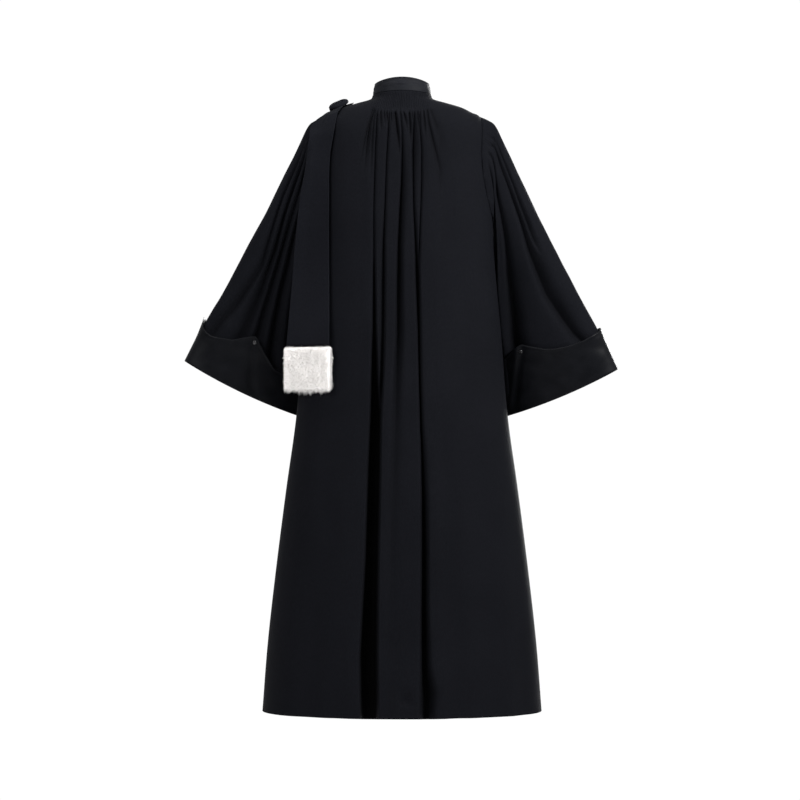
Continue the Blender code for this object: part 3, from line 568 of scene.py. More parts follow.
def fading_gather(gather, x, z):
    across, deep, left, right, gone = gather
    off = x - np.interp(-np.asarray(z, float), (34, 60, 100, 160), across)
    start = stitched_edge(x) + 3
    strength = ease((start - z) / 10) * ease((z - gone) / (0.7 * (start - gone)))
    grow = np.clip((start - z) / (start - gone), 0, 1)
    return 1.2 * deep * strength * crease(off, left * (1 + grow), right * (1 + grow), 1.0)


def joined(depths):
    """Hollows that meet run into one another, and the deeper one wins."""
    return (np.maximum(np.array(depths), 0) ** 4).sum(axis=0) ** 0.25


def wrinkles(points, seed, across=26, along=5):
    """Slight unevenness, drawn out lengthwise, as an amount for each point."""
    out = np.empty(len(points))
    for k, (x, y, z) in enumerate(points):
        spot = Vector((x * across / 1000, y * across / 1000 + seed, z * along / 1000))
        out[k] = noise.noise(spot) + 0.4 * noise.noise(spot * 2.3)
    return out


def rows_between(*stops):
    """Fractional rows: each stop is a row and how many steps lead to it."""
    rows = [stops[0]]
    for stop, steps in stops[1:]:
        start = rows[-1]
        rows += [start + (stop - start) * (k + 1) / steps for k in range(steps)]
    return rows


def tucked(points):
    """The neck seam's allowance, turned up inside the collar."""
    flat = points[0] * (1, 1, 0)
    flat /= np.linalg.norm(flat, axis=1, keepdims=True)
    low = points[0] - 3.2 * flat + (0, 0, 1)
    return np.concatenate([[low + (0, 0, 5)], [low], [points[0] - 1.2 * flat + (0, 0, 0.3)], points])


PANEL_ROWS = rows_between(0, (1, 5), (2, 6), (3, 8), (5, 14), (7, 12), (10, 18), (12, 20), (14, 22), (16.985, 34), (17, 1))


def fine_pleats(z, share):
    """The stitched pleats under the collar, at a share of the way across them."""
    rise = falling(PLEAT_RISE, "rise", z)
    inside = ease(share * 20) * ease((1 - share) * 20)
    return rise * inside * (np.abs(np.sin(np.pi * share * FINE_PLEATS)) ** 0.8 - 0.6)


def back_points():
    side_steps, middle_steps = 22, 212
    rows, sunk = [], []
    for row in PANEL_ROWS:
        z = at(BODY, "back_z", row)
        x_left, x_right = falling(GATHERED, "left", z), falling(GATHERED, "right", z)
        edge = back_edge(row)
        left, right = angle_at_width(row, x_left), angle_at_width(row, x_right)
        angles = np.concatenate(
            [
                np.linspace(-edge, left, side_steps, endpoint=False),
                angle_at_width(row, np.linspace(x_left, x_right, middle_steps + 1)),
                np.linspace(right, edge, side_steps + 1)[1:],
            ]
        )
        points = ring_points(row, angles)
        x, z = points[:, 0], points[:, 2]
        folds = [trough(fold, x, z) for fold in BACK_FOLDS]
        gathers = [fading_gather(gather, x, z) for gather in FADING_GATHERS]
        deep = joined(folds + gathers)
        # How shaded each point is: it sets the painted shade in the folds and gathers, a narrow gather getting more
        # than its depth gives, and the dip of the folds' bottoms at the hem
        shade = joined(folds + [2.2 * gather for gather in gathers])
        deep += np.max([trough(hollow, x, z) for hollow in SOFT_HOLLOWS], axis=0)
        px, pz, wide, high, dip = HEM_PUCKER
        deep += dip * np.exp(-(((x - px) / wide) ** 2) - ((z - pz) / high) ** 2)
        share = (x - x_left) / (x_right - x_left)
        deep -= fine_pleats(z, share)
        deep -= falling(PUFF, "out", z) * ease(share * 7) * ease((1 - share) * 7)
        points[:, 1] += deep
        points[:, 2] -= 0.117 * shade * ease((-1290 - z) / 45)
        from_edge = np.minimum(np.arange(len(x)), np.arange(len(x))[::-1])
        if SHOULDER_ROW < row < UNDERARM_ROW:
            points[:, 1] -= 0.7 * np.exp(-from_edge / 0.8)
        free = ease(from_edge / 10) * ease((row - 2) / 3)
        points[:, 1] += wrinkles(points, 3.0) * 1.6 * free
        rows.append(points)
        # The share of painted shade at each point, from none to the darkest
        sunk.append(np.clip(shade / FULL_DARK, 0, 1))
    return tucked(np.array(rows)), np.array([sunk[0]] * 3 + sunk)


def front_points(side):
    rows = []
    for row in PANEL_ROWS:
        half_width = at(BODY, "half_width", row)
        middle = math.pi - math.asin(SEAM_GAP / 2 / half_width)
        angles = np.linspace(middle, front_edge(row), 101)
        points = ring_points(row, angles)
        x, z = points[:, 0], points[:, 2]
        deep = np.max([trough(flute, x, z) for flute in FRONT_FLUTES], axis=0)
        share = ease((angles - math.pi / 2) / (math.pi / 8))
        points[:, 1] -= deep * share
        from_edge = np.arange(len(x))[::-1]
        free = ease(from_edge / 10) * ease((x - 24) / 20) * ease((row - 2) / 3)
        points[:, 1] -= wrinkles(points, 11.0 + (side == "left")) * 1.5 * free
        if side == "left":
            points[:, 0] *= -1
            points = points[::-1]
        rows.append(points)
    return tucked(np.array(rows))[:, ::-1]


# Cloth from a grid of points


def normals_of(points, closed=False):
    """Unit directions square to a grid of points, rows by columns."""
    if closed:
        along = np.roll(points, -1, axis=1) - np.roll(points, 1, axis=1)
    else:
        along = np.gradient(points, axis=1)
    down = np.gradient(points, axis=0)
    normal = np.cross(down, along)
    return normal / np.maximum(np.linalg.norm(normal, axis=2, keepdims=True), 1e-12)


def cloth(name, points, closed=False, smooth=True, sunk=None):
    """A sheet laid out from a flat grid, in metres, with its own measures as its UV map.

    sunk says how deep in a fold each point lies, from 0 to 1; the wool reads it to paint shade into the folds.
    """
    points = np.asarray(points) * MM
    if sunk is None:
        sunk = np.zeros(points.shape[:2])
    if closed:
        points = np.concatenate([points, points[:, :1]], axis=1)
        sunk = np.concatenate([sunk, sunk[:, :1]], axis=1)
    down, across = points.shape[0] - 1, points.shape[1] - 1
    runs = np.linalg.norm(np.diff(points, axis=1), axis=2)
    u = np.concatenate([np.zeros((down + 1, 1)), np.cumsum(runs, axis=1)], axis=1)
    u -= u[:, across // 2 : across // 2 + 1]
    drops = np.linalg.norm(np.diff(points, axis=0), axis=2)
    v = -np.concatenate([np.zeros((1, across + 1)), np.cumsum(drops, axis=0)], axis=0)

    bm = bmesh.new()
    bmesh.ops.create_grid(bm, x_segments=across, y_segments=down, size=0.5)
    layer = bm.loops.layers.uv.new("cloth")
    depth = bm.verts.layers.float.new("sunk")
    spots = {}
    for vert in bm.verts:
        spots[vert] = (round((0.5 - vert.co.y) * down), round((vert.co.x + 0.5) * across))
    for face in bm.faces:
        for loop in face.loops:
            spot = spots[loop.vert]
            loop[layer].uv = (u[spot], v[spot])
    for vert, spot in spots.items():
        vert.co = points[spot]
        vert[depth] = sunk[spot]
    if closed:
        bmesh.ops.remove_doubles(bm, verts=bm.verts, dist=0.001 * MM)
    return piece(name, bm, smooth)


def piece(name, bm, smooth=True):
    mesh = bpy.data.meshes.new(name)
    bm.to_mesh(mesh)
    bm.free()
    if smooth:
        mesh.shade_smooth()
    made = bpy.data.objects.new(name, mesh)
    bpy.context.scene.collection.objects.link(made)
    return made


def give_wall(made, thickness, offset=-1.0):
    wall = made.modifiers.new("wall", "SOLIDIFY")
    wall.thickness = thickness
    wall.offset = offset
    wall.use_even_offset = False
    return made


def finish_piece(made, nodes, look):
    """The piece takes its nodes' place, rides with the robe and gets its finish."""
    made.data.materials.append(look)
    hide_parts(*([nodes] if isinstance(nodes, str) else nodes))
    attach(made, "root")
    return made


# Finishes


WOOL_TONES = ((0.0019, 0.0021, 0.0029), (0.0026, 0.0028, 0.0039), (0.0037, 0.0040, 0.0053))
SATIN_TONES = ((0.0015, 0.0017, 0.0023), (0.0026, 0.0028, 0.0037))


class Look:
    """A material whose nodes are added one after another."""

    def __init__(self, name, colour, roughness, specular):
        self.material = bpy.data.materials.new(name)
        self.material.use_nodes = True
        self.nodes = self.material.node_tree.nodes
        self.links = self.material.node_tree.links
        self.shader = self.nodes["Principled BSDF"]
        self.set(Base_Color=(*colour, 1), Roughness=roughness, Specular_IOR_Level=specular)

    def set(self, **values):
        for name, value in values.items():
            self.shader.inputs[name.replace("_", " ")].default_value = value

    def add(self, kind, **inputs):
        node = self.nodes.new(kind)
        for name, value in inputs.items():
            socket = node.inputs[name.replace("_", " ")]
            if isinstance(value, bpy.types.NodeSocket):
                self.links.new(value, socket)
            else:
                socket.default_value = value
        return node

    def coordinates(self, source, scale=(1, 1, 1), turn=0.0):
        found = self.add("ShaderNodeTexCoord")
        return self.add(
            "ShaderNodeMapping",
            Vector=found.outputs[source],
            Scale=scale,
            Rotation=(0, 0, turn),
        ).outputs["Vector"]

    def ramp(self, value, stops):
        node = self.add("ShaderNodeValToRGB", Fac=value)
        ramp = node.color_ramp
        while len(ramp.elements) < len(stops):
            ramp.elements.new(0.5)
        for element, (place, colour) in zip(ramp.elements, stops):
            element.position = place
            element.color = (*colour, 1)
        return node.outputs["Color"]

    def mix(self, share, first, second):
        """One colour turning into another."""
        node = self.nodes.new("ShaderNodeMix")
        node.data_type = "RGBA"
        self.links.new(share, node.inputs[0])
        self.links.new(first, node.inputs[6])
        node.inputs[7].default_value = second
        return node.outputs[2]

    def bump(self, height, distance, strength=1.0, under=None):
        inputs = {"Height": height, "Distance": distance, "Strength": strength}
        node = self.add("ShaderNodeBump", **inputs)
        if under is not None:
            self.links.new(under, node.inputs["Normal"])
        return node.outputs["Normal"]

    def colour_from(self, socket):
        self.links.new(socket, self.shader.inputs["Base Color"])

    def roughness_from(self, socket):
        self.links.new(socket, self.shader.inputs["Roughness"])

    def normal_from(self, socket):
        self.links.new(socket, self.shader.inputs["Normal"])


def make_wool(name, light):
    """Black wool crepe: a fine diagonal twill under a pebbled, slightly flecked face, with painted shade that darkens
    its cloth deep in the folds.
    """
    tones = [tuple(light * c for c in tone) for tone in WOOL_TONES]
    look = Look(name, tones[1], 0.8, 0.027)
    look.set(Sheen_Weight=0.003, Sheen_Roughness=0.5, Sheen_Tint=(0.6, 0.63, 0.75, 1))
    cloth_uv = look.coordinates("UV")
    twill = look.add("ShaderNodeTexWave", Vector=look.coordinates("UV", turn=1.08), Scale=300.0, Distortion=1.2, Detail=1.0)
    pebble = look.add("ShaderNodeTexNoise", Vector=cloth_uv, Scale=900.0, Detail=3.0, Roughness=0.6)
    fleck = look.add("ShaderNodeTexNoise", Vector=look.coordinates("UV", (1, 0.45, 1)), Scale=420.0, Detail=2.0)
    cloud = look.add("ShaderNodeTexNoise", Vector=look.coordinates("Object"), Scale=7.0, Detail=3.0)
    blend = look.add("ShaderNodeMix", Factor=0.3, A=fleck.outputs["Fac"], B=cloud.outputs["Fac"])
    tone = look.ramp(
        blend.outputs["Result"],
        list(zip((0.3, 0.5, 0.7), tones)),
    )
    # Painted shade: cloth deep in a fold is painted nearly black, as the sunk attribute says
    painted_fold_shade = look.add("ShaderNodeAttribute")
    painted_fold_shade.attribute_name = "sunk"
    look.colour_from(look.mix(painted_fold_shade.outputs["Fac"], tone, (0.0002, 0.0002, 0.0003, 1)))
    rough = look.add("ShaderNodeMapRange", Value=pebble.outputs["Fac"], To_Min=0.7, To_Max=0.9)
    look.roughness_from(rough.outputs["Result"])
    weave = look.bump(twill.outputs["Fac"], 0.12 * MM, 0.5)
    look.normal_from(look.bump(pebble.outputs["Fac"], 0.15 * MM, 0.5, weave))
    return look.material


def make_satin(name, light, shine):
    """Black satin: long floats across, soft creases and a lustre that moves with the light; its colour is painted
    lighter on the creases' ridges and darker in their hollows.
    """
    tones = [tuple(light * c for c in tone) for tone in SATIN_TONES]
    look = Look(name, tones[0], shine, 0.05)
    look.set(Anisotropic=0.35)
    floats = look.add("ShaderNodeTexNoise", Vector=look.coordinates("UV", (0.12, 1.6, 1)), Scale=1500.0, Detail=2.0)
    crease = look.add("ShaderNodeTexNoise", Vector=look.coordinates("UV", (0.7, 1.0, 1)), Scale=34.0, Detail=3.0, Roughness=0.5)
    # Painted light and shade: the colour follows the creases' height, lighter on their ridges
    tone = look.ramp(crease.outputs["Fac"], list(zip((0.3, 0.75), tones)))
    look.colour_from(tone)
    rough = look.add("ShaderNodeMapRange", Value=crease.outputs["Fac"], To_Min=shine - 0.07, To_Max=shine + 0.09)
    look.roughness_from(rough.outputs["Result"])
    weave = look.bump(floats.outputs["Fac"], 0.05 * MM, 0.4)
    look.normal_from(look.bump(crease.outputs["Fac"], 1.2 * MM, 0.35, weave))
    return look.material


def make_fur_look(name, dark):
    """White rabbit fur, whose strands are a little warmer and darker towards the skin; its ends and top get a painted
    shade.
    """
    look = Look(name, (0.84, 0.82, 0.80), 0.85, 0.1)
    look.set(Sheen_Weight=0.12, Sheen_Roughness=0.5)
    tone = look.add("ShaderNodeTexNoise", Vector=look.coordinates("Object"), Scale=90.0, Detail=3.0)
    colour = look.ramp(tone.outputs["Fac"], [(0.3, tuple(c * dark for c in (0.84, 0.815, 0.795))), (0.7, (0.88, 0.86, 0.84))])
    # Painted shade: the fur on the band's ends and top is painted greyer
    fur_edge_shade = look.add("ShaderNodeAttribute")
    fur_edge_shade.attribute_name = "fur_edge_shade"
    share = look.add("ShaderNodeMapRange", Value=fur_edge_shade.outputs["Fac"], From_Min=0.2, To_Max=0.75)
    look.colour_from(look.mix(share.outputs["Result"], colour, (0.25, 0.24, 0.24, 1)))
    return look.material


def make_horn():
    """Polished black buttons with faint turning marks."""
    look = Look("polished black horn", (0.012, 0.012, 0.013), 0.18, 0.5)
    turned = look.add("ShaderNodeTexNoise", Vector=look.coordinates("Object"), Scale=600.0, Detail=2.0)
    look.roughness_from(look.add("ShaderNodeMapRange", Value=turned.outputs["Fac"], To_Min=0.14, To_Max=0.3).outputs["Result"])
    return look.material


def make_thread():
    look = Look("black thread", (0.016, 0.016, 0.018), 0.6, 0.3)
    twist = look.add("ShaderNodeTexWave", Vector=look.coordinates("Object"), Scale=900.0)
    look.normal_from(look.bump(twist.outputs["Fac"], 0.05 * MM, 0.5))
    return look.material


WOOL, STOLE_WOOL = make_wool("black wool crepe", 1.0), make_wool("stole's wool crepe", 1.4)
# The collar's satin is the cuffs' satin painted 2.1 times lighter, as painted light for the brighter sheen the collar
# shows
SATIN, COLLAR_SATIN_PAINTED_LIGHTER = make_satin("black satin", 1.0, 0.42), make_satin("collar's satin", 2.1, 0.58)
HORN, THREAD = make_horn(), make_thread()
FUR_SKIN = make_fur_look("fur skin", 0.93)
FUR_PILE_LOOK = make_fur_look("white fur pile", 0.97)


# The panels


def make_body():
    points, sunk = back_points()
    back = give_wall(cloth("back_panel", points, sunk=sunk), CLOTH)
    finish_piece(back, ("back", "back_skirt"), WOOL)
    fronts = {}
    for side in ("left", "right"):
        fronts[side] = front_points(side)
        made = give_wall(cloth(f"front_panel_{side}", fronts[side]), CLOTH)
        finish_piece(made, (f"front_{side}", f"front_{side}_skirt"), WOOL)
    return points, fronts


# The collar


def collar_points():
    """From inside the seam, up over the top edge, and down outside to the seam."""
    last = math.pi - math.radians(COLLAR_OPEN)
    angles = np.linspace(-last, last, 181)
    seam = ring_points(0, angles)
    seam[:, 2] += COLLAR_LIFT
    across, along = np.sin(angles), np.cos(angles)
    depth = np.where(along > 0, -COLLAR_TOP["back"], COLLAR_TOP["front"])
    end_z = np.where(along > 0, COLLAR_TOP_Z["back"], COLLAR_TOP_Z["front"])
    top_z = COLLAR_TOP_Z["side"] + (end_z - COLLAR_TOP_Z["side"]) * along**2
    corner = np.clip(1 - (math.pi - np.abs(angles)) * COLLAR_TOP["front"] / COLLAR_CORNER, 0, 1)
    top_z -= COLLAR_CORNER * corner**2
    top = np.stack([COLLAR_TOP["half_width"] * across, depth * np.abs(along), top_z], axis=1)
    flat = seam * (1, 1, 0)
    flat /= np.linalg.norm(flat, axis=1, keepdims=True)
    rows = []
    for k in range(29):
        up = k / 28
        swell = 1.4 * math.sin(math.pi * up)
        ripple = wrinkles(seam + (0, 0, 60 * up), 5.0, 30, 44) * 1.5 * math.sin(math.pi * up)
        piping = 0.7 * math.exp(-(((up - 0.93) / 0.035) ** 2)) - 0.4 * math.exp(-(((up - 0.86) / 0.02) ** 2))
        rows.append(seam + (top - seam) * up + flat * (swell + ripple + piping - 0.3)[:, None])
    return np.array(rows[::-1])


def make_collar():
    made = give_wall(cloth("collar_stand", collar_points()), 1.9 * MM)
    finish_piece(made, "collar", COLLAR_SATIN_PAINTED_LIGHTER)


# The sleeves


def scye_ring():
    """The armhole's edge on the wearer's right, from the shoulder round the back."""
    rows = (5, 5.03, 5.08, 5.17, 5.35, 5.7, 6.2, 7, 8, 9, 9.6, 9.85, 10)
    ring = [ring_points(row, [back_edge(row)])[0] for row in rows]
    ring += [ring_points(row, [front_edge(row)])[0] for row in rows[-2::-1]]
    return np.array(ring)


SCYE = scye_ring()


def scye_at(steps):
    """Points on the armhole's straight runs at fractional steps round it."""
    marks = np.arange(len(SCYE))
    return np.stack([np.interp(steps, marks, SCYE[:, axis]) for axis in range(3)], axis=1)


def round_angles(steps):
    """The angle round the sleeve, in degrees, of each step round the armhole."""
    half = (len(SCYE) - 1) / 2
    near = np.where(steps <= half, steps, 2 * half - steps)
    top, bottom = SCYE[0, 2], SCYE[int(half), 2]
    fall = np.clip((top - scye_at(near)[:, 2]) / (top - bottom), 0, 1)
    degrees = np.degrees(np.arccos(1 - 2 * fall))
    return np.where(steps <= half, degrees, 360 - degrees)


def steps_at(angles):
    """Steps round the armhole that fall at these angles round the sleeve."""
    fine = np.linspace(0, len(SCYE) - 1, 4000)
    return np.interp(angles, round_angles(fine), fine)


def sleeve_angles():
    """Angles round the sleeve, closest together over its pleated head."""
    half = [*np.linspace(0, HEAD_PLEATS_TO, 90, endpoint=False), *np.linspace(HEAD_PLEATS_TO, 180, 74, endpoint=False)]
    return np.array([*half, 180, *(360 - a for a in half[:0:-1])])


SLEEVE_ANGLES = sleeve_angles()
SLEEVE_STEPS = steps_at(SLEEVE_ANGLES)


def sleeve_value(side, column, place):
    value = at(SLEEVE, column, place)
    if side == "left" and column in LEFT_SWING:
        value += LEFT_SWING[column] * max(0, (place - 3) / (SLEEVE_MOUTH - 3))
    return value


def beside_body(points, clear):
    """The points, moved out where they would lie too near the robe's side."""
    rows = np.interp(-points[:, 2], -BODY["side_z"], np.arange(len(BODY["side_z"])))
    out = points.copy()
    for k, row in enumerate(rows):
        ring = ring_at(row)
        half = "back_depth" if points[k, 1] < 0 else "front_depth"
        wide, deep = ring["half_width"] + clear[k], ring[half] + clear[k]
        inside = (abs(points[k, 0]) / wide) ** ring["square"] + (abs(points[k, 1]) / deep) ** ring["square"]
        if inside < 1:
            out[k, :2] *= inside ** (-1 / ring["square"])
    return out


def sleeve_smooth(side, place, steps=SLEEVE_STEPS, angles=SLEEVE_ANGLES):
    """A ring of the sleeve without folds, as on the wearer's right."""
    place = np.broadcast_to(place, steps.shape)
    turn = np.radians(angles)
    across, bulge = np.cos(turn), np.sin(turn)
    places = np.unique(place)
    value = {}
    for name in SLEEVE:
        known = [sleeve_value(side, name, p) for p in places]
        value[name] = np.interp(place, places, known)
    outer = np.stack([value["out_" + axis] for axis in "xyz"], axis=1)
    inner = np.stack([value["in_" + axis] for axis in "xyz"], axis=1)
    points = (outer + inner) / 2 + (outer - inner) / 2 * across[:, None]
    points[:, 1] -= np.where(bulge > 0, value["back"], value["front"]) * bulge
    points[:, 2] -= value["hang"] * bulge**2
    joined = ease(place / 1.6)
    edge = scye_at(steps) + (SLEEVE_SEAM, 0, 0)
    points = edge + (points - edge) * joined[:, None]
    below = ease((UNDERARM_Z - points[:, 2]) / 20)[:, None]
    return points + (beside_body(points, SLEEVE_CLEAR * joined) - points) * below


def sleeve_depth(side, place):
    """How far the folds go in round a ring of the sleeve."""
    depths = []
    for fold in (*SLEEVE_FOLDS[side], SLEEVE_ROLL[side]):
        middle, most, before, after = (
            np.interp(place, fold["place"], fold[name]) for name in ("angle", "deep", "before", "after")
        )
        depths.append(most * crease(SLEEVE_ANGLES - middle, before, after, 1.5))
    return joined(depths[:-1]) - depths[-1]


def cuff_edge(side):
    return np.interp(SLEEVE_ANGLES, CUFF_EDGE[side]["angle"], CUFF_EDGE[side]["place"])


def head_pleats(place):
    """The fine pleats at the sleeve's head, stitched down and then let go."""
    from_top = np.minimum(SLEEVE_ANGLES, 360 - SLEEVE_ANGLES)
    inside = ease((HEAD_PLEATS_TO - from_top) / 12)
    wave = np.abs(np.sin(np.pi * from_top / HEAD_PLEATS_TO * HEAD_PLEATS)) - 0.5
    rise = np.interp(place, (0, 0.15, 0.7, 1.2, 1.7, 2.6, 4.0), (0.2, 1.1, 1.3, 1.5, 2.2, 1.0, 0))
    return rise * wave * inside


def sleeve_points(side):
    places = rows_between(0, (0.5, 8), (1.5, 14), (3, 16), (6, 34), (8.985, 38), (9, 1))
    smooth = np.array([sleeve_smooth(side, place) for place in places])
    out = -normals_of(smooth, closed=True)
    moved, sunk = [], []
    for place, ring, normal in zip(places, smooth, out):
        give = ease((place - 1.5) / 2) * (1 - np.exp(-(((SLEEVE_ANGLES - 185) / 32) ** 2)))
        give *= ease((cuff_edge(side) - 0.1 - place) / 0.3)
        rough = wrinkles(ring, 21.0 + (side == "left"), 18, 9) * 1.8 * give
        deep = sleeve_depth(side, place)
        moved.append(ring + normal * (head_pleats(place) - deep + rough)[:, None])
        # Painted shade in the sleeve's folds, darker the deeper they go
        sunk.append(np.clip(deep / SLEEVE_DARK, 0, 1))
    return np.array(moved), np.array(sunk)


def on_side(side, points):
    """The wearer's left is the mirror of their right, with its faces kept outwards."""
    if side == "left":
        return points * (-1, 1, 1)
    return points[:, ::-1]


def make_sleeve(side):
    points, sunk = sleeve_points(side)
    points, sunk = on_side(side, points), sunk if side == "left" else sunk[:, ::-1]
    made = give_wall(cloth(f"sleeve_cloth_{side}", points, closed=True, sunk=sunk), CLOTH)
    finish_piece(made, f"sleeve_{side}", WOOL)
    return points


def cuff_points(side):
    """The satin from its facing inside the mouth, round the fold and up to its top edge."""
    edge = cuff_edge(side)
    outside = []
    shares = np.linspace(0, 1, 25)
    for share in shares:
        outside.append(sleeve_smooth(side, SLEEVE_MOUTH + (edge - SLEEVE_MOUTH) * share))
    outside = np.array(outside[::-1])
    normal = -normals_of(outside, closed=True)
    rows = []
    for k, share in enumerate(shares[::-1]):
        stand = CUFF_GAP + 0.9 + CUFF_STAND * share**2
        rough = wrinkles(outside[k], 31.0 + (side == "left"), 14, 20) * 1.9 * (0.4 + share)
        lip = 0.8 * math.exp(-(((share - 0.98) / 0.02) ** 2)) - 0.5 * math.exp(-(((share - 0.92) / 0.03) ** 2))
        past = SLEEVE_ANGLES - CUFF_SEAM[side] + (CUFF_SEAM[side] - PEAK_ANGLE[side]) * share
        lap = 1.4 * ease(past / 2.2) * np.exp(-((np.maximum(past, 0) / 16) ** 2))
        dent = 1.6 * np.exp(-(((past + 4) / 3.5) ** 2))
        rows.append(outside[k] + normal[k] * (stand + (rough - dent) * ease(share * 6) + lap * ease(share * 6) + lip)[:, None])
    mouth, away = outside[-1], normal[-1]
    below = outside[-1] - outside[-2]
    below /= np.linalg.norm(below, axis=1, keepdims=True)
    for turn in (50, 90, 130):
        t = math.radians(turn)
        rows.append(mouth + away * (0.1 + (CUFF_GAP + 0.8) * math.cos(t)) + below * (0.3 + 1.4 * math.sin(t)))
    for k in range(1, 7):
        rows.append(mouth - away * (1.7 + 0.3 * k / 6) - below * FACING_UP * k / 6)
    return np.array(rows), np.array(outside), normal


def make_cuff(side):
    points, outside, normal = cuff_points(side)
    made = give_wall(cloth(f"cuff_satin_{side}", on_side(side, points), closed=True), 0.9 * MM)
    finish_piece(made, f"cuff_{side}", SATIN)

    peak = int(np.argmin(np.abs(SLEEVE_ANGLES - PEAK_ANGLE[side])))
    spot = points[3, peak].copy()
    away = points[3, peak] - outside[3, peak]
    away = Vector(normal[3, peak])
    if side == "left":
        spot[0] *= -1
        away.x *= -1
    stud = stud_shape(f"stud_{side}", Vector(spot) * MM + away.normalized() * 0.35 * MM, away)
    finish_piece(stud, f"cuff_stud_{side}", HORN)


def place_at(bm, spot, outward):
    """Turns the shape's own +Z to point outward, and sets it on its spot."""
    turn = outward.to_track_quat("Z", "Y").to_matrix().to_4x4()
    bmesh.ops.transform(bm, matrix=turn, verts=bm.verts)
    bmesh.ops.translate(bm, verts=bm.verts, vec=spot)


def stud_shape(name, spot, outward):
    bm = bmesh.new()
    profile = [(0, 0), (3.6, 0), (4.2, 0.5), (4.3, 1.2), (3.9, 1.8), (3.2, 2.1), (2.8, 1.9), (1.8, 2.4), (0, 2.7)]
    verts = [bm.verts.new((r * MM, 0, z * MM)) for r, z in profile]
    edges = [bm.edges.new(pair) for pair in zip(verts, verts[1:])]
    turned(bm, verts + edges, 32)
    place_at(bm, spot, outward)
    return piece(name, bm)


def turned(bm, geom, steps):
    """Spins a profile round Z and closes it."""
    bmesh.ops.spin(bm, geom=geom, axis=(0, 0, 1), cent=(0, 0, 0), angle=2 * math.pi, steps=steps, use_merge=True)
    bmesh.ops.remove_doubles(bm, verts=bm.verts, dist=0.01 * MM)
    bmesh.ops.recalc_face_normals(bm, faces=bm.faces)


# The closing


def placket_points(fronts):
    """A band over the closing, on the flat run beside the middle of both fronts."""
    columns = np.linspace(-1, 1, 23)
    rows = []
    for left, right in zip(fronts["left"][3:], fronts["right"][3:]):
        by_x = np.array(sorted([*left.tolist(), *right.tolist()], key=lambda p: p[0]))
        reach = PLACKET_HALF
        x = columns * reach
        y = np.interp(x, by_x[:, 0], by_x[:, 1])
        z = np.interp(x, by_x[:, 0], by_x[:, 2])
        rows.append(np.stack([x, y, z], axis=1))
    return np.array(rows)[:, ::-1]


def make_placket(fronts):
    points = placket_points(fronts)
    points[0] += (points[1] - points[0]) * 0.4
    normal = normals_of(points)
    across = np.abs(points[0, :, 0]) / PLACKET_HALF
    ridge = 0.45 * np.exp(-(((across - 0.97) / 0.05) ** 2)) - 0.35 * np.exp(-(((across - 0.84) / 0.03) ** 2))
    lifted = points + normal * (PLACKET_GAP + 1.5 + ridge)[None, :, None]
    band = give_wall(cloth("placket_band", lifted), PLACKET_WALL)
    finish_piece(band, "placket", WOOL)
    middle = lifted[:, lifted.shape[1] // 2]
    for number in range(BUTTONS):
        z = BUTTON_FIRST_Z - BUTTON_PITCH * number
        i = int(np.argmax(middle[:, 2] <= z)) - 1
        share = (z - middle[i, 2]) / (middle[i + 1, 2] - middle[i, 2])
        run = middle[i + 1] - middle[i]
        spot = Vector(middle[i] + run * share) * MM
        outward = Vector((0, -run[2], run[1])).normalized()
        made = button_shape(f"button_horn_{number + 1:02d}", spot + outward * 0.3 * MM, outward)
        finish_piece(made, f"button_{number + 1:02d}", HORN)


def button_shape(name, spot, outward):
    """A turned button with a raised rim, a sunk middle and its crossed thread."""
    bm = bmesh.new()
    profile = [(0, 0), (5.2, 0), (6.0, 0.5), (6.35, 1.3), (6.1, 2.2), (5.4, 2.7), (4.8, 2.5), (4.2, 1.9), (2.6, 1.6), (0, 1.5)]
    verts = [bm.verts.new((r * MM, 0, z * MM)) for r, z in profile]
    edges = [bm.edges.new(pair) for pair in zip(verts, verts[1:])]
    turned(bm, verts + edges, 36)
    for turn in (45, -45):
        made = bmesh.ops.create_cone(bm, cap_ends=True, segments=6, radius1=0.45 * MM, radius2=0.45 * MM, depth=4 * MM)
        lying = Vector((1, 0, 0)).to_track_quat("Z", "Y").to_matrix()
        bmesh.ops.rotate(bm, verts=made["verts"], matrix=lying)
        spun = Vector((math.cos(math.radians(turn)), math.sin(math.radians(turn)), 0))
        bmesh.ops.rotate(bm, verts=made["verts"], matrix=Vector((1, 0, 0)).rotation_difference(spun).to_matrix())
        bmesh.ops.translate(bm, verts=made["verts"], vec=(0, 0, 1.75 * MM))
    place_at(bm, spot, outward)
    return piece(name, bm)


# The stole


def surface_of(grids):
    """The visible faces of several grids of points, for laying the stole on them."""
    points, faces = [], []
    for grid, closed in grids:
        start = len(points)
        rows, columns = grid.shape[:2]
        points += [Vector(p) for p in grid.reshape(-1, 3)]
        for j in range(rows - 1):
            for i in range(columns if closed else columns - 1):
                k = (i + 1) % columns
                a, b = start + j * columns, start + (j + 1) * columns
                faces.append((a + i, b + i, b + k, a + k))
    return BVHTree.FromPolygons(points, faces)


def highest(under, x, y):
    """The height of the robe's top in a small patch round x, y."""
    starts = [Vector((x + a, y + b, 100)) for a in (-2, 0, 2) for b in (-2, 0, 2)]
    hits = [under.ray_cast(start, Vector((0, 0, -1)))[0] for start in starts]
    return max(hit.z for hit in hits if hit)


def furthest(under, x, z, facing):
    """How far out the robe reaches in a small patch round x, z, behind or in front."""
    starts = [Vector((x + a, 400 * facing, z + b)) for a in (-2, 0, 2) for b in (-3, 0, 3)]
    hits = [under.ray_cast(start, Vector((0, -facing, 0)))[0] for start in starts]
    return max((hit.y * facing for hit in hits if hit), default=0)


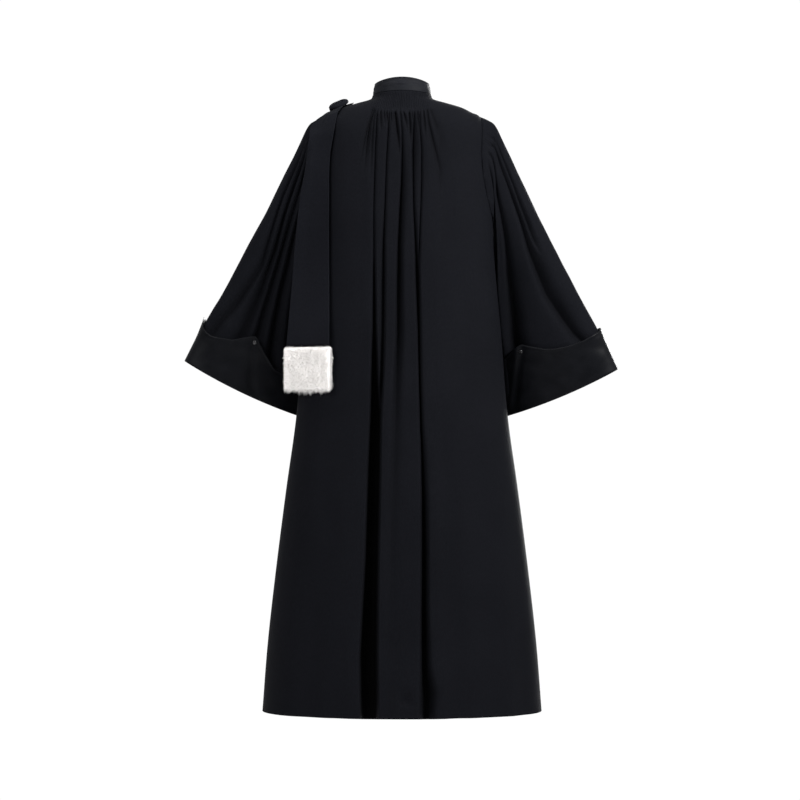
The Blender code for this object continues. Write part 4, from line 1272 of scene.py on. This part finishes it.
def stole_guide(under, over, down, facing, fur_height):
    """The rows that the strip is drawn through: over the shoulder, then hanging."""
    shares = np.linspace(0, 1, STOLE_COLUMNS + 1)
    rows = []
    for k in range(len(over["left"])):
        x = over["left"][k] + (over["right"][k] - over["left"][k]) * shares
        y = over["y_left"][k] + (over["y_right"][k] - over["y_left"][k]) * shares
        z = [highest(under, a, b) + STOLE_LIFT for a, b in zip(x, y)]
        rows.append(np.stack([x, y, z], axis=1))
    count = len(down["left"])
    for k in range(count):
        x = down["left"][k] + (down["right"][k] - down["left"][k]) * shares
        z = down["z_left"][k] + (down["z_right"][k] - down["z_left"][k]) * shares
        stand = STOLE_STAND + (STOLE_END_STAND - STOLE_STAND) * ease((k + 1) / count)
        drop = fur_height if k == count - 1 else 0
        y = []
        for a, b, above in zip(x, z, rows[-1][:, 1]):
            reach = max(furthest(under, a, level, facing) for level in (b, b - drop / 2, b - drop))
            y.append(max(reach + stand, above * facing) * facing)
        rows.append(np.stack([x, y, z], axis=1))
    end = rows[-1]
    chord = end[0] + (end[-1] - end[0]) * shares[:, None]
    short = np.max((end[:, 1] - chord[:, 1]) * facing)
    rows[-1] = chord + (0, short * facing, 0)
    for _ in range(3):
        for row in rows:
            for i in range(1, len(row) - 1):
                between = (row[i - 1, 1] + row[i + 1, 1]) / 2
                if between * facing > row[i, 1] * facing:
                    row[i, 1] = between
    rows = np.array(rows)
    out = np.array((0, 0.7 * facing, 0.7))
    for _ in range(12):
        for k in range(2, len(over["left"]) + 4):
            hollow = np.maximum(((rows[k - 1] + rows[k + 1]) / 2 - rows[k]) @ out, 0)
            rows[k] += hollow[:, None] * out
    return rows


def refined(guide, down, across):
    """A finer grid on a smooth curve through every row and column of the guide."""
    first = curve_through(guide, down)
    return np.swapaxes(curve_through(np.swapaxes(first, 0, 1), across), 0, 1)


def curve_through(rows, steps):
    last = len(rows) - 1
    out = []
    for place in np.linspace(0, last, steps + 1):
        i = min(int(place), last - 1)
        t = place - i
        start, end = rows[i], rows[i + 1]
        before = rows[i - 1] if i > 0 else 2 * start - end
        after = rows[i + 2] if i + 2 <= last else 2 * end - start
        leave, arrive = (end - before) / 2, (after - start) / 2
        out.append(
            (2 * t**3 - 3 * t**2 + 1) * start
            + (t**3 - 2 * t**2 + t) * leave
            + (3 * t**2 - 2 * t**3) * end
            + (t**3 - t**2) * arrive
        )
    return np.array(out)


def make_stole(name, under, over, down, facing, fur_height, seed):
    guide = stole_guide(under, over, down, facing, fur_height)
    points = refined(guide, 110, 40)
    if facing < 0:
        points = points
    else:
        points = points[:, ::-1]
    normal = normals_of(points)
    across = np.abs(np.linspace(-1, 1, points.shape[1]))
    welt = 0.5 * np.exp(-(((across - 0.97) / 0.03) ** 2)) - 0.3 * np.exp(-(((across - 0.9) / 0.02) ** 2))
    rough = np.array([wrinkles(row, seed, 20, 7) for row in points]) * 0.7
    fade = ease(np.linspace(0, 8, points.shape[0]))[:, None]
    lifted = points + normal * ((rough * fade + STOLE_WALL / MM + welt)[:, :, None])
    lifted = np.concatenate([lifted, [lifted[-1] - (0, 0, 4)]])
    strip = give_wall(cloth(f"stole_strip_{name}", lifted), STOLE_WALL)
    finish_piece(strip, f"stole_{name}", STOLE_WOOL)
    fur = make_fur(name, guide[-1], facing, fur_height, seed)
    return surface_of([(lifted, False)])


def make_fur(name, end, facing, height, seed):
    """The white band round the strip's end: a padded skin and its pile of strands."""
    run = Vector(end[-1] - end[0])
    width = run.length + 2 * FUR_PILE
    across = run.normalized()
    out = Vector((run.y, -run.x, 0)).normalized()
    if out.y * facing < 0:
        out.negate()
    middle = (Vector(end[0]) + Vector(end[-1])) / 2 - Vector((0, 0, height / 2 + 0.3)) + out * 0.9

    skin_size = (width - 2 * FUR_PILE + 10, FUR_THICK - 9, height - 2 * FUR_PILE + 4)
    bm = bmesh.new()
    fur_edge_shade = bm.verts.layers.float.new("fur_edge_shade")
    bmesh.ops.create_cube(bm, size=1)
    bmesh.ops.scale(bm, verts=bm.verts, vec=skin_size)
    bmesh.ops.bevel(bm, geom=bm.edges[:], offset=4, segments=4, profile=0.5, affect="EDGES", material=-1, clamp_overlap=True)
    bmesh.ops.subdivide_edges(bm, edges=bm.edges[:], cuts=3, use_grid_fill=True)
    bm.normal_update()
    for vert in bm.verts:
        vert.co += vert.normal * 0.9 * noise.noise(vert.co * 0.09 + Vector((seed, 0, 0)))
        vert.co.z -= 1
        # The skin's painted shade, by the way it faces
        vert[fur_edge_shade] = edge_shade_share(vert.normal)

    def placed(co):
        return (middle + across * co.x - out * co.y + Vector((0, 0, co.z))) * MM

    rng = random.Random(int(seed * 10))
    strands = strand_roots(bm, rng, 15000 if facing < 0 else 8000)
    for vert in bm.verts:
        vert.co = placed(vert.co)
    bmesh.ops.recalc_face_normals(bm, faces=bm.faces)
    skin = piece(f"fur_band_{name}", bm)
    finish_piece(skin, f"stole_fur_{name}", FUR_SKIN)
    pile = make_pile(f"fur_pile_{name}", strands, placed, rng)
    pile.data.materials.append(FUR_PILE_LOOK)
    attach(pile, "root")
    return skin


def edge_shade_share(normal):
    """How much painted shade the fur gets on a side that faces this way: most on its ends and top."""
    return max(abs(normal.x), normal.z, 0)


def strand_roots(bm, rng, count):
    """Roots and outward directions, spread evenly over the skin."""
    corners = [[loop.vert for loop in loops] for loops in bm.calc_loop_triangles()]
    areas = np.array([((b.co - a.co).cross(c.co - a.co)).length for a, b, c in corners])
    marks = np.cumsum(areas) / areas.sum()
    roots = []
    for _ in range(count):
        a, b, c = corners[min(int(np.searchsorted(marks, rng.random())), len(corners) - 1)]
        s, t = rng.random(), rng.random()
        if s + t > 1:
            s, t = 1 - s, 1 - t
        r = 1 - s - t
        normal = (a.normal * r + b.normal * s + c.normal * t).normalized()
        roots.append((a.co * r + b.co * s + c.co * t, normal))
    return roots


def make_pile(name, roots, placed, rng):
    """One tapered strand copied over and over, each copy laid along its own curve."""
    bm = bmesh.new()
    fur_edge_shade = bm.verts.layers.float.new("fur_edge_shade")
    bmesh.ops.create_cone(bm, cap_ends=False, segments=3, radius1=1, radius2=0.55, depth=0.5)
    ring = [edge for edge in bm.edges if edge.is_boundary and edge.verts[0].co.z > 0]
    tip = bmesh.ops.extrude_edge_only(bm, edges=ring)["geom"]
    top = [g for g in tip if isinstance(g, bmesh.types.BMVert)]
    bmesh.ops.translate(bm, verts=top, vec=(0, 0, 0.5))
    bmesh.ops.pointmerge(bm, verts=top, merge_co=(0, 0, 0.75))
    bmesh.ops.holes_fill(bm, edges=[edge for edge in bm.edges if edge.is_boundary], sides=3)
    bmesh.ops.recalc_face_normals(bm, faces=bm.faces)
    bm.verts.index_update()
    pattern = np.array([vert.co[:] for vert in bm.verts])
    while len(bm.verts) < len(roots) * len(pattern):
        bmesh.ops.duplicate(bm, geom=bm.verts[:] + bm.edges[:] + bm.faces[:])
    bm.verts.ensure_lookup_table()
    spare = bm.verts[len(roots) * len(pattern) :]
    bmesh.ops.delete(bm, geom=spare, context="VERTS")
    bm.verts.ensure_lookup_table()

    down = Vector((0, 0, -1))
    number = 0
    for root, normal in roots:
        clump = noise.noise_vector(root * 0.05)
        tuft = noise.noise(root * 0.22)
        length = rng.uniform(5, 9.5) * (1 + 0.35 * clump.x)
        length *= (1 - 0.4 * max(normal.z, 0)) * (1 - 0.55 * abs(normal.x))
        length *= 1 + (0.35 + 1.1 * tuft) * max(-normal.z, 0)
        lean = normal + down * rng.uniform(0.5, 1.1) + clump * 0.55
        lean += Vector((rng.uniform(-0.4, 0.4), rng.uniform(-0.4, 0.4), rng.uniform(-0.4, 0.4)))
        lean.normalize()
        bend = (lean + down * rng.uniform(0.2, 0.8) + clump * 0.3).normalized()
        side = lean.orthogonal().normalized()
        other = lean.cross(side)
        thick = rng.uniform(0.16, 0.26)
        for x, y, z in pattern:
            up = (z + 0.25)
            along = root - normal * 0.6 + lean * length * min(up, 0.5) + bend * length * max(up - 0.5, 0)
            bm.verts[number].co = placed(along + (side * x + other * y) * thick)
            # Each strand takes the painted shade of its root's side
            bm.verts[number][fur_edge_shade] = edge_shade_share(normal)
            number += 1
    return piece(name, bm)


def make_rosette(strip):
    """A disc of gathered cloth drawn in to a covered button."""
    profile = [(0.3, -3.4), (10, -3.6), (18, -3.6), (21.6, -2.6), (23, -0.4), (22.7, 1.8), (20.8, 4.2), (17, 5.8), (13.5, 6), (10.6, 5), (9.4, 4.2), (8.8, 5), (7.6, 6.4), (5, 7.4), (2, 7.8), (0, 7.8)]
    bm = bmesh.new()
    verts = [bm.verts.new((r * MM, 0, z * MM)) for r, z in profile]
    edges = [bm.edges.new(pair) for pair in zip(verts, verts[1:])]
    turned(bm, verts + edges, 144)
    for vert in bm.verts:
        r = math.hypot(vert.co.x, vert.co.y) / MM
        if r > 9 and vert.co.z > -2 * MM:
            angle = math.atan2(vert.co.y, vert.co.x)
            gather = math.cos(angle * 22 + 0.7 * math.sin(angle * 3)) * 0.7 * math.exp(-(((r - 14) / 6) ** 2))
            droop = 0.8 * math.sin(angle * 2 + 0.6) * (r / 23) ** 2
            vert.co.z += (gather + droop * 0.5) * MM
    under = [vert for vert in bm.verts if vert.co.z < -1.5 * MM]
    lean = Euler((math.radians(ROSETTE_TIP), -math.radians(ROSETTE_LEAN), 0))
    bmesh.ops.transform(bm, matrix=lean.to_matrix().to_4x4(), verts=bm.verts)
    bmesh.ops.translate(bm, verts=bm.verts, vec=Vector(ROSETTE_CENTRE) * MM)
    for vert in under:
        hit = strip.ray_cast(Vector((vert.co.x, vert.co.y, 100 * MM)) / MM, Vector((0, 0, -1)))[0]
        if hit:
            vert.co.z = min(vert.co.z, (hit.z + 0.5) * MM)
    finish_piece(piece("rosette_cloth", bm), "stole_rosette", STOLE_WOOL)


# The room


def make_floor():
    bm = bmesh.new()
    bmesh.ops.create_circle(bm, cap_ends=True, segments=96, radius=7)
    bmesh.ops.translate(bm, verts=bm.verts, vec=(0, 0, FLOOR_Z))
    floor = piece("studio_floor", bm)
    look = Look("white paper", (0.94, 0.94, 0.94), 0.9, 0.1)
    floor.data.materials.append(look.material)


def make_world():
    """A white backdrop behind the robe, and a dimmer room on the other side."""
    world = bpy.data.worlds.new("soft room")
    world.use_nodes = True
    nodes, links = world.node_tree.nodes, world.node_tree.links
    found = nodes.new("ShaderNodeTexCoord")
    split = nodes.new("ShaderNodeSeparateXYZ")
    links.new(found.outputs["Generated"], split.inputs["Vector"])
    ramp = nodes.new("ShaderNodeValToRGB")
    reach = nodes.new("ShaderNodeMapRange")
    reach.inputs["From Min"].default_value = -1
    links.new(split.outputs["Y"], reach.inputs["Value"])
    links.new(reach.outputs["Result"], ramp.inputs["Fac"])
    ramp.color_ramp.elements[0].position = 0.2
    ramp.color_ramp.elements[0].color = (0.36, 0.36, 0.37, 1)
    ramp.color_ramp.elements[1].position = 0.75
    ramp.color_ramp.elements[1].color = (1, 1, 1, 1)
    background = nodes["Background"]
    links.new(ramp.outputs["Color"], background.inputs["Color"])
    background.inputs["Strength"].default_value = 1.02
    bpy.context.scene.world = world


def add_light(name, place, aim, size, power, colour=(1, 1, 1)):
    data = bpy.data.lights.new(name, "AREA")
    data.shape = "RECTANGLE"
    data.size, data.size_y = size
    data.energy = power
    data.color = colour
    made = bpy.data.objects.new(name, data)
    made.location = place
    made.rotation_euler = (Vector(aim) - Vector(place)).to_track_quat("-Z", "Y").to_euler()
    bpy.context.scene.collection.objects.link(made)


def make_camera():
    data = bpy.data.cameras.new("camera")
    data.sensor_width = 36
    data.lens = 18 / (0.88 / 6)
    data.clip_end = 60
    made = bpy.data.objects.new("camera", data)
    made.location = (-0.0044, -6, -0.66)
    made.rotation_euler = (math.pi / 2, 0, 0)
    bpy.context.scene.collection.objects.link(made)
    bpy.context.scene.camera = made


def make_room():
    bpy.context.scene.view_settings.view_transform = "Standard"
    make_world()
    make_floor()
    add_light("key", (2.2, -1.8, 1.0), (0.1, 0, -0.3), (0.9, 0.9), 125)
    add_light("side", (1.35, -1.05, 0.25), (0.38, 0, -0.4), (0.5, 0.5), 26)
    add_light("fill", (-1.8, -2.6, 0.9), (0, 0, -0.3), (1.6, 1.6), 98)
    add_light("top", (-0.4, -0.5, 2.2), (0, 0, 0), (1.2, 1.2), 66)
    add_light("front", (1.6, 4.4, 0.2), (0, 0, -0.6), (2.5, 2.5), 420)
    make_camera()


make_room()
back_grid, front_grids = make_body()
make_collar()
make_placket(front_grids)
sleeves = {side: make_sleeve(side) for side in ("left", "right")}
for side in ("left", "right"):
    make_cuff(side)
under_stole = surface_of([(back_grid, False), (front_grids["left"], False), (sleeves["left"], True)])
strip_tree = make_stole("back", under_stole, STOLE_BACK_OVER, STOLE_BACK_DOWN, -1, FUR_BACK_HEIGHT, 41.0)
make_stole("front", under_stole, STOLE_FRONT_OVER, STOLE_FRONT_DOWN, 1, FUR_FRONT_HEIGHT, 47.0)
make_rosette(strip_tree)
